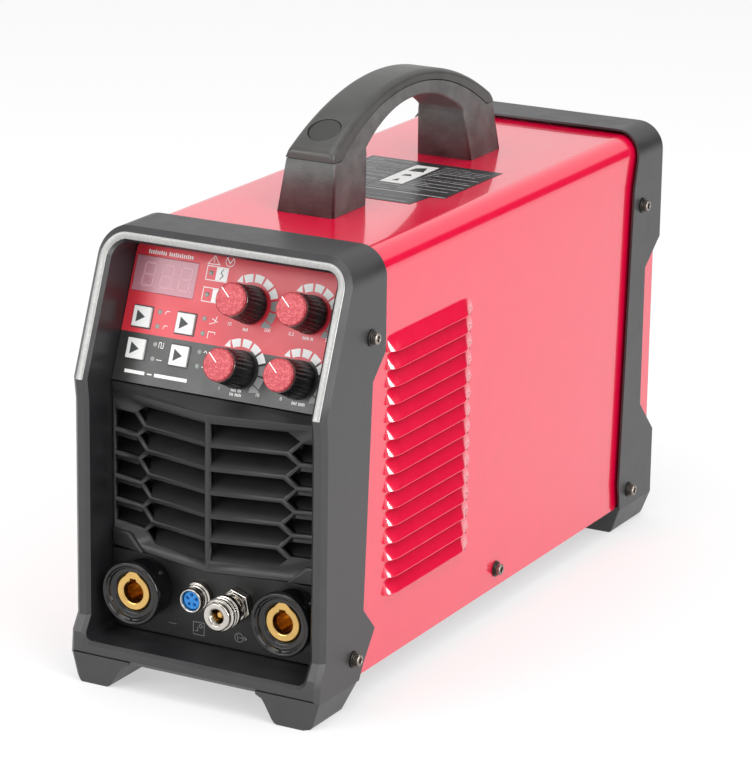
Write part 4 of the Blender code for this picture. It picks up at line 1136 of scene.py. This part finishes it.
def build_lamps():
    """Small domes beside the buttons and in the mode boxes."""
    for number, place in enumerate(LAMPS, start=1):
        dome = turned([(0, -1), (1.55, -1), (1.55, 0.1), (1.25, 0.42), (0.7, 0.6), (0, 0.66)], 28)
        fixed(f"lamp_{number}", on_panel(dome, *place, 0), lamp_grey)


def build_display():
    """The window, and three digits whose seven segments are all unlit."""
    x0, y0, x1, y1 = DISPLAY
    inset = 0.2
    window = prism(rectangle(x0 + inset, y0 + inset, x1 - inset, y1 - inset), -2, -0.1, "z")
    bevel(fixed("display_window", on_panel(window, out=0), display_tint, "display_lens"), 0.15)
    digits = bmesh.new()
    width, height, lean, pitch, short = 7.6, 14.4, 1.1, 13.2, 0.12
    segments = [((0, level), (1, level)) for level in (0, 0.5, 1)]
    segments += [((side, low), (side, low + 0.5)) for side in (0, 1) for low in (0, 0.5)]
    for digit in range(3):
        left, low = x0 + 6.6 + digit * pitch, y0 + 4.2
        for pair in segments:
            start, end = (Vector((left + a * width + b * lean, low + b * height)) for a, b in pair)
            ribbon([start.lerp(end, short), end.lerp(start, short)], 1.25, digits, 0.05)
        ribbon([(left + width + 1.7, low - 0.1), (left + width + 2.3, low - 0.1)], 1.1, digits, 0.05)
    fixed("display_digits", on_panel(digits, out=-0.1), display_segment)


def build_knobs():
    """Each knob's fluted skirt, steel rim, red cap and pointer. The flutes run between two rings."""
    stations = [(3.4, 3.4), (3.4, 1), (11.9, 1), (12.2, 1.4), (12.2, 2.6), (11.9, 3), (11.95, 4), (11.7, 8),
                (11.3, 14), (10.9, 20), (10.8, 22.3), (10.6, 22.9), (10, 23.2), (3.4, 23.2)]
    rim = rounded([(9, 23.3), (KNOB_CAP, 23.3), (KNOB_CAP + 0.1, 23.7), (9, 23.7)], 0.15)
    cap = rounded([(0, 23.8), (KNOB_CAP - 0.1, 23.8), (KNOB_CAP, 24.4), (KNOB_CAP, 25.9),
                   (KNOB_CAP - 0.7, 26.5), (0, KNOB_TOP)], 0.5, 5)
    depth, first, last = 0.3, 5, 11

    def flute(angle, index):
        return depth * (math.cos(KNOB_FLUTES * angle) - 1) if first < index < last else 0

    for label, place in KNOBS.items():
        add = partial(pivoted, body="knob_" + label, pivot=panel_point(*place), turn=PANEL_TURN)
        skirt = turned(stations, KNOB_FLUTES * 12, flute)
        add("knob_skirt_" + label, skirt, knob_black, stands_for="knob_body_" + label, sharp=42)
        add("knob_rim_" + label, turned(rim, 96), dark_steel)
        add("knob_face_" + label, turned(cap, 96), red_cap, stands_for="knob_cap_" + label)
        pointer = prism(rectangle(-0.33, 1.6, 0.33, KNOB_CAP - 0.7), KNOB_TOP - 0.25, KNOB_TOP + 0.04, "z")
        add("knob_pointer_" + label, put(pointer, Matrix.Rotation(POINTER_TURN, 4, "Z")), print_white)


def build_buttons():
    half = BUTTON_HALF
    for label, place in BUTTONS.items():
        add = partial(pivoted, body="button_" + label, pivot=panel_point(*place), turn=PANEL_TURN)
        cap = cuboid((-half, -half, -4), (half, half, 1.6))
        bevel(add("button_cap_" + label, cap, button_grey, stands_for="mode_button_" + label), 0.5, 3)
        arrow = prism([(-3.6, -3.9), (2.6, 0), (-3.6, 3.9)], 1.55, 1.66, "z")
        add("button_arrow_" + label, arrow, print_and_shade_dark)
        # A dark ring just outside the button: painted shade in the gap between the button and the panel.
        edge, reach = bmesh.new(), half + 0.5
        ribbon(rectangle(-reach, -reach, reach, reach), 0.55, edge, 0.05, closed=True)
        fixed("button_gap_shade_" + label, on_panel(edge, *place), print_and_shade_dark)


# The plate on the top

def build_label():
    """The plate between the handle's legs, with plain bars where words would be."""
    level = COVER_TOP + 0.02
    thickness = 0.2
    face = level + thickness - 0.02
    plate, pale, dark, rows, rule = (bmesh.new() for _ in range(5))
    outline = [(-43, 191.8), (43.4, 191.8), (45.6, 214.6), (55.6, 216.4), (55.6, 299.5), (-43, 299.5)]
    decal(outline, plate, thickness, level)
    decal(rectangle(-4, 237.5, 13, 290), pale, 0.07, face)
    for left, right, start, end, pitch in ((16, 53, 223, 296, 4.1), (-40, -7, 223, 296, 3.4),
                                           (-4, 13, 223, 234, 3.4), (-39, 40, 196, 206, 4.6)):
        y = start
        while y < end:
            x = left
            thick = draw.choice((0.7, 0.7, 1.3))
            while x < right - 2:
                length = min(draw.uniform(2.5, 11), right - x)
                ribbon([(x, y), (x + length, y)], thick, rows, 0.05)
                x += length + draw.uniform(1, 2.2)
                if draw.random() < 0.12:
                    break
            y += pitch
    ribbon([(-43, 217.6), (55, 217.6)], 0.6, rule, 0.05)
    for x, y, wide, long in ((-1, 272, 11, 13), (1, 258, 7, 6), (2, 243, 4, 7)):
        corners = [(x, y), (x + wide, y + 1), (x + wide * 0.7, y + long), (x + 1, y + long * 0.7)]
        decal(corners, dark, 0.04, level + 0.24)
    lift = Matrix.Translation((0, 0, face))
    for name, mesh, finish in (("plate", plate, label_black), ("block", pale, print_white),
                               ("marks", dark, print_and_shade_dark), ("lines", put(rows, lift), label_print),
                               ("rule", put(rule, lift), print_white)):
        fixed("rating_" + name, mesh, finish)


# The rear

def build_cable():
    """The lead: out of the gland, round a bend and down, to three bare cores."""
    radius, sides, bend, straight, drop, pitch = 6, 32, 34, 17, 130, 12
    bend_y, bend_z = PANEL_BACK + straight, SWITCH_Z - bend
    end_y, end_z = bend_y + bend, bend_z - drop + bend
    path = [(PANEL_BACK - 20, SWITCH_Z), (PANEL_BACK, SWITCH_Z), (bend_y, SWITCH_Z)]
    path += arc((bend_y, bend_z), bend, 85, 0, 17)
    path += [(end_y, bend_z - step) for step in range(pitch, drop - bend, pitch)]
    path.append((end_y, end_z))
    across = Vector((1, 0, 0))
    angles = [2 * math.pi * step / sides for step in range(sides)]
    rings = []
    for index, (y, z) in enumerate(path):
        before, after = path[max(0, index - 1)], path[min(len(path) - 1, index + 1)]
        tangent = Vector((0, after[0] - before[0], after[1] - before[1])).normalized()
        lift = across.cross(tangent)
        middle = Vector((GLAND_X, y, z))
        rings.append([middle + radius * (math.cos(a) * lift + math.sin(a) * across) for a in angles])
    fixed("mains_cable_sheath", loft(rings), rubber, "mains_cable", sharp=50)
    for number, finish in enumerate((wire_brown, wire_blue, wire_green)):
        angle = 2 * math.pi * number / 3
        start = (GLAND_X + 2.4 * math.cos(angle), end_y + 2.4 * math.sin(angle), end_z + 1)
        fixed(f"mains_core_{number + 1}", rod(1.5, start, (0, 0, -1), 9, 20), finish)


def build_gland():
    """The cable gland. Its grip's ribs run between the first and the last of these rings."""
    ribs, depth, first, last = 18, 0.4, 22, 30
    profile = rounded([(6.6, -14), (10, -14), (10, 0), (14, 0), (14, 4.2), (12.6, 4.8), (12.6, 11),
                       (11.2, 14.6), (8.6, 16.4), (6.6, 16.4)], 0.5)

    def ripple(angle, index):
        return -depth * max(0, math.cos(ribs * angle)) if first < index < last else 0

    mesh = aim(turned(profile, 144, ripple), BACK, (GLAND_X, PANEL_BACK, SWITCH_Z))
    fixed("gland_nut", mesh, black_plastic, "cable_gland")


def build_gas_inlet():
    """A ridged tail for a hose, with a hexagon nut at its root."""
    origin, pitch = (GLAND_X, PANEL_BACK, INLET_Z), 3.6
    profile = [(2.4, -16), (6, -16), (6, 0), (9, 0), (9, 3), (5, 3.4)]
    for ridge in range(3):
        profile += [(5.4, 4 + ridge * pitch), (4.2, 7.4 + ridge * pitch)]
    profile += [(3.6, 16), (2.4, 16)]
    turned_piece("gas_inlet_hose_tail", profile, brass, origin, 64, stands_for="gas_inlet_barb")
    nut = turned([(6.2, 0.4), (10.4, 0.4), (10.9, 0.9), (10.9, 4.4), (6.2, 4.4)], 6)
    bevel(fixed("gas_inlet_nut", aim(nut, BACK, origin), brass), 0.4, 2, 25)


def dress_frame_nodes():
    """The CAD solids that stay get their finish, and small rounded edges where they show."""
    finishes = {
        "connector_plate": (plate_plastic, 0.3), "control_fascia": (fascia, 0.12),
        "rear_panel": (dark_paint, 0.3), "base_pan": (zinc, 0.2),
        "switch_body": (gloss_black, 0.5), "switch_rocker": (rocker_red, 0.6),
        "fan_frame": (black_plastic, 0.4), "fan_rotor": (black_plastic, 0.25),
        "control_board": (board_green, 0.1), "inverter_board": (board_green, 0.1),
        "heat_sink": (aluminium, 0.2), "main_transformer": (ferrite, 0.4), "gas_valve": (brass, 0.5),
    }
    for label in KNOBS:
        finishes["pot_shaft_" + label] = (nickel, 0.2)
    for name, (finish, width) in finishes.items():
        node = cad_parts[name]
        node.data.materials.clear()
        node.data.materials.append(finish)
        weld(node, 0.01)
        bevel(node, width, 2, 30)


# The studio

def build_world():
    """Even white, brighter behind and to the left, dark low down behind and to the right."""
    world = bpy.data.worlds.new("studio")
    bpy.context.scene.world = world
    world.use_nodes = True
    place = add_node(world, "ShaderNodeTexCoord")
    split = add_node(world, "ShaderNodeSeparateXYZ")
    link(world, place.outputs["Generated"], split.inputs["Vector"])

    def between(axis, start, end):
        """0 at the start of a range of directions, 1 at its end."""
        made = add_node(world, "ShaderNodeMapRange", interpolation_type="SMOOTHSTEP", From_Min=start,
                        From_Max=end)
        link(world, split.outputs[axis], made.inputs["Value"])
        return made.outputs["Result"]

    def combine(operation, *values):
        made = add_node(world, "ShaderNodeMath", operation=operation)
        for socket, value in zip(made.inputs, values):
            if isinstance(value, float):
                socket.default_value = value
            else:
                link(world, value, socket)
        return made.outputs["Value"]

    def region(*ranges):
        """1 where the direction lies past the end of all three ranges."""
        x, y, z = (between(axis, *limits) for axis, limits in zip("XYZ", ranges))
        return combine("MULTIPLY", combine("MULTIPLY", x, y), z)

    dark = region((0.06, 0.2), (0.2, 0.45), (0.33, 0.25))
    bright = region((0.05, -0.2), (0.3, 0.6), (0.8, 0.5))
    strength = combine("MULTIPLY_ADD", bright, 0.05, combine("MULTIPLY_ADD", dark, -0.72, 0.76))
    background = world.node_tree.nodes["Background"]
    background.inputs["Color"].default_value = (1, 1, 1, 1)
    link(world, strength, background.inputs["Strength"])


def build_floor():
    mesh = bmesh.new()
    bmesh.ops.create_grid(mesh, x_segments=1, y_segments=1, size=30)
    make_piece("floor", mesh, floor_pale)


def build_camera():
    camera = bpy.data.objects.new("camera", bpy.data.cameras.new("camera"))
    bpy.context.scene.collection.objects.link(camera)
    camera.data.lens = CAMERA_LENS
    camera.data.clip_end = 100
    sin_az, cos_az = math.sin(CAMERA_AZIMUTH), math.cos(CAMERA_AZIMUTH)
    sin_el, cos_el = math.sin(CAMERA_ELEVATION), math.cos(CAMERA_ELEVATION)
    back = Vector((sin_az * cos_el, -cos_az * cos_el, sin_el))
    right = Vector((cos_az, sin_az, 0))
    up = back.cross(right)
    rolled_right = right * math.cos(CAMERA_ROLL) + up * math.sin(CAMERA_ROLL)
    rolled_up = up * math.cos(CAMERA_ROLL) - right * math.sin(CAMERA_ROLL)
    turn = Matrix((rolled_right, rolled_up, back)).transposed().to_4x4()
    camera.matrix_world = Matrix.Translation(ROW @ Vector(CAMERA_POINT)) @ turn
    bpy.context.scene.camera = camera


def build_light(name, point, size, power):
    """A soft light aimed at the middle of the object. Its place and size are in metres."""
    light = bpy.data.lights.new(name, "AREA")
    light.shape = "RECTANGLE"
    light.size, light.size_y = size
    light.energy = power
    made = bpy.data.objects.new(name, light)
    bpy.context.scene.collection.objects.link(made)
    made.location = point
    made.rotation_euler = (Vector((0, 0, 0.16)) - Vector(point)).to_track_quat("-Z", "Y").to_euler()
    return made


def build_studio():
    """The floor, the camera, three soft lights and a fourth, the gleam, that shows only in reflections."""
    build_floor()
    build_camera()
    build_light("overhead", (0.2, -0.3, 2.6), (2.2, 1.8), 22)
    build_light("front_left", (-1.4, -2.75, 1.3), (1.9, 1.2), 35)
    build_light("right", (1.75, -0.85, 1.75), (1.5, 1.5), 18)
    build_light("gleam", (2.5, -0.1, 0.72), (1.4, 0.9), 85).visible_diffuse = False
    build_world()
    bpy.context.scene.view_settings.view_transform = "Standard"


# Finishes

red_paint = surface("red_paint", (0.84, 0.002, 0.05), 0.2, coat=1, wave=(9, 0.12), mottle=0.02)
black_plastic = surface("black_plastic", (0.016, 0.016, 0.018), 0.38, ior=1.65, grain=(1500, 0.04),
                        mottle=0.15)
handle_plastic = surface("handle_plastic", (0.088, 0.094, 0.091), 0.55, grain=(650, 0.3), mottle=0.35)
grip_plastic = surface("grip_plastic", (0.055, 0.054, 0.05), 0.36, grain=(1300, 0.04), mottle=0.15)
handle_cover_plastic = surface("handle_cover_plastic", (0.03, 0.03, 0.028), 0.45, grain=(1300, 0.04),
                               mottle=0.15)
grille_plastic = surface("grille_plastic", (0.016, 0.016, 0.016), 0.42, grain=(1600, 0.03), mottle=0.15)
plate_plastic = surface("plate_plastic", (0.008, 0.008, 0.008), 0.42, grain=(1800, 0.02), mottle=0.15)
knob_black = surface("knob_black", (0.006, 0.006, 0.007), 0.27, grain=(300, 0.01), mottle=0.1)
gloss_black = surface("gloss_black", (0.006, 0.006, 0.007), 0.13, grain=(300, 0.01), mottle=0.1)
silver_trim = surface("silver_trim", (0.4, 0.4, 0.39), 0.42, metallic=0.3, grain=(700, 0.02), mottle=0.08,
                      spot=(0.42, 0.42, 0.41))
red_cap = surface("red_cap", (0.4, 0.03, 0.045), 0.4, metallic=0.3, grain=(1300, 0.03), mottle=0.15,
                  spot=(0.48, 0.09, 0.1))
button_grey = surface("button_grey", (0.78, 0.78, 0.77), 0.4, grain=(1200, 0.02), mottle=0.03)
display_tint = surface("display_tint", (0.52, 0.22, 0.27), 0.28, grain=(500, 0.005), mottle=0.06)
display_segment = surface("display_segment", (0.66, 0.34, 0.4), 0.4, mottle=0.04)
lamp_grey = surface("lamp_grey", (0.32, 0.35, 0.32), 0.3, mottle=0.1)
nickel = surface("nickel", (0.55, 0.52, 0.48), 0.13, metallic=1, grain=(1400, 0.012), stretch=(1, 0.1, 1),
                 mottle=0.08)
brass = surface("brass", (0.6, 0.38, 0.13), 0.22, metallic=1, grain=(1600, 0.02), stretch=(1, 0.1, 1))
blue_nylon = surface("blue_nylon", (0.01, 0.22, 0.62), 0.35, grain=(1200, 0.02), mottle=0.06)
black_steel = surface("black_steel", (0.06, 0.055, 0.05), 0.32, metallic=0.9, grain=(1200, 0.03), mottle=0.2)
dark_steel = surface("dark_steel", (0.3, 0.27, 0.24), 0.24, metallic=1, grain=(1200, 0.03), mottle=0.25)
zinc = surface("zinc", (0.45, 0.47, 0.48), 0.35, metallic=1, grain=(500, 0.02))
dark_paint = surface("dark_paint", (0.02, 0.02, 0.021), 0.45, grain=(1400, 0.05))
# Black rubber for the cable; the same black is painted shade behind the grille and under the louvre lips.
rubber = surface("rubber", (0.016, 0.016, 0.016), 0.62, grain=(900, 0.05), mottle=0.15)
rocker_red = surface("rocker_red", (0.55, 0.01, 0.01), 0.25, grain=(700, 0.01), mottle=0.05)
board_green = surface("board_green", (0.01, 0.12, 0.05), 0.4, grain=(500, 0.02), mottle=0.2)
aluminium = surface("aluminium", (0.7, 0.71, 0.72), 0.35, metallic=1, grain=(700, 0.02), stretch=(1, 0.05, 1))
ferrite = surface("ferrite", (0.05, 0.05, 0.05), 0.6, grain=(600, 0.05))
print_white = surface("print_white", (0.9, 0.89, 0.88), 0.45, mottle=0.04, mottle_scale=400)
print_grey = surface("print_grey", (0.26, 0.26, 0.26), 0.45, mottle=0.06, mottle_scale=400)
# Dark print, and the same dark as painted shade in the gap round each button.
print_and_shade_dark = surface("print_and_shade_dark", (0.03, 0.035, 0.035), 0.45, mottle=0.1, mottle_scale=400)
label_black = surface("label_black", (0.03, 0.03, 0.032), 0.3, grain=(900, 0.01), mottle=0.1)
label_print = surface("label_print", (0.32, 0.33, 0.33), 0.4, mottle=0.2, mottle_scale=300)
wire_brown = surface("wire_brown", (0.12, 0.05, 0.02), 0.5)
wire_blue = surface("wire_blue", (0.01, 0.08, 0.4), 0.5)
wire_green = surface("wire_green", (0.1, 0.35, 0.02), 0.5)
floor_pale = surface("floor_pale", (0.45, 0.45, 0.45), 0.7, mottle=0.01, mottle_scale=3)
shader_of(floor_pale).inputs["Emission Color"].default_value = (1, 1, 1, 1)
shader_of(floor_pale).inputs["Emission Strength"].default_value = 0.5
fascia = panel_print("fascia", (0.68, 0.03, 0.05), (0.03, 0.031, 0.029))

build_front_frame()
build_front_trim()
build_rear_frame()
build_cover()
build_louvres()
build_screws()
build_handle()
build_grille()
build_output_sockets()
build_torch_connector()
build_gas_coupler()
build_scales()
build_numbers()
build_marks()
build_plate_marks()
build_lamps()
build_display()
build_knobs()
build_buttons()
build_label()
build_cable()
build_gland()
build_gas_inlet()
dress_frame_nodes()
build_studio()
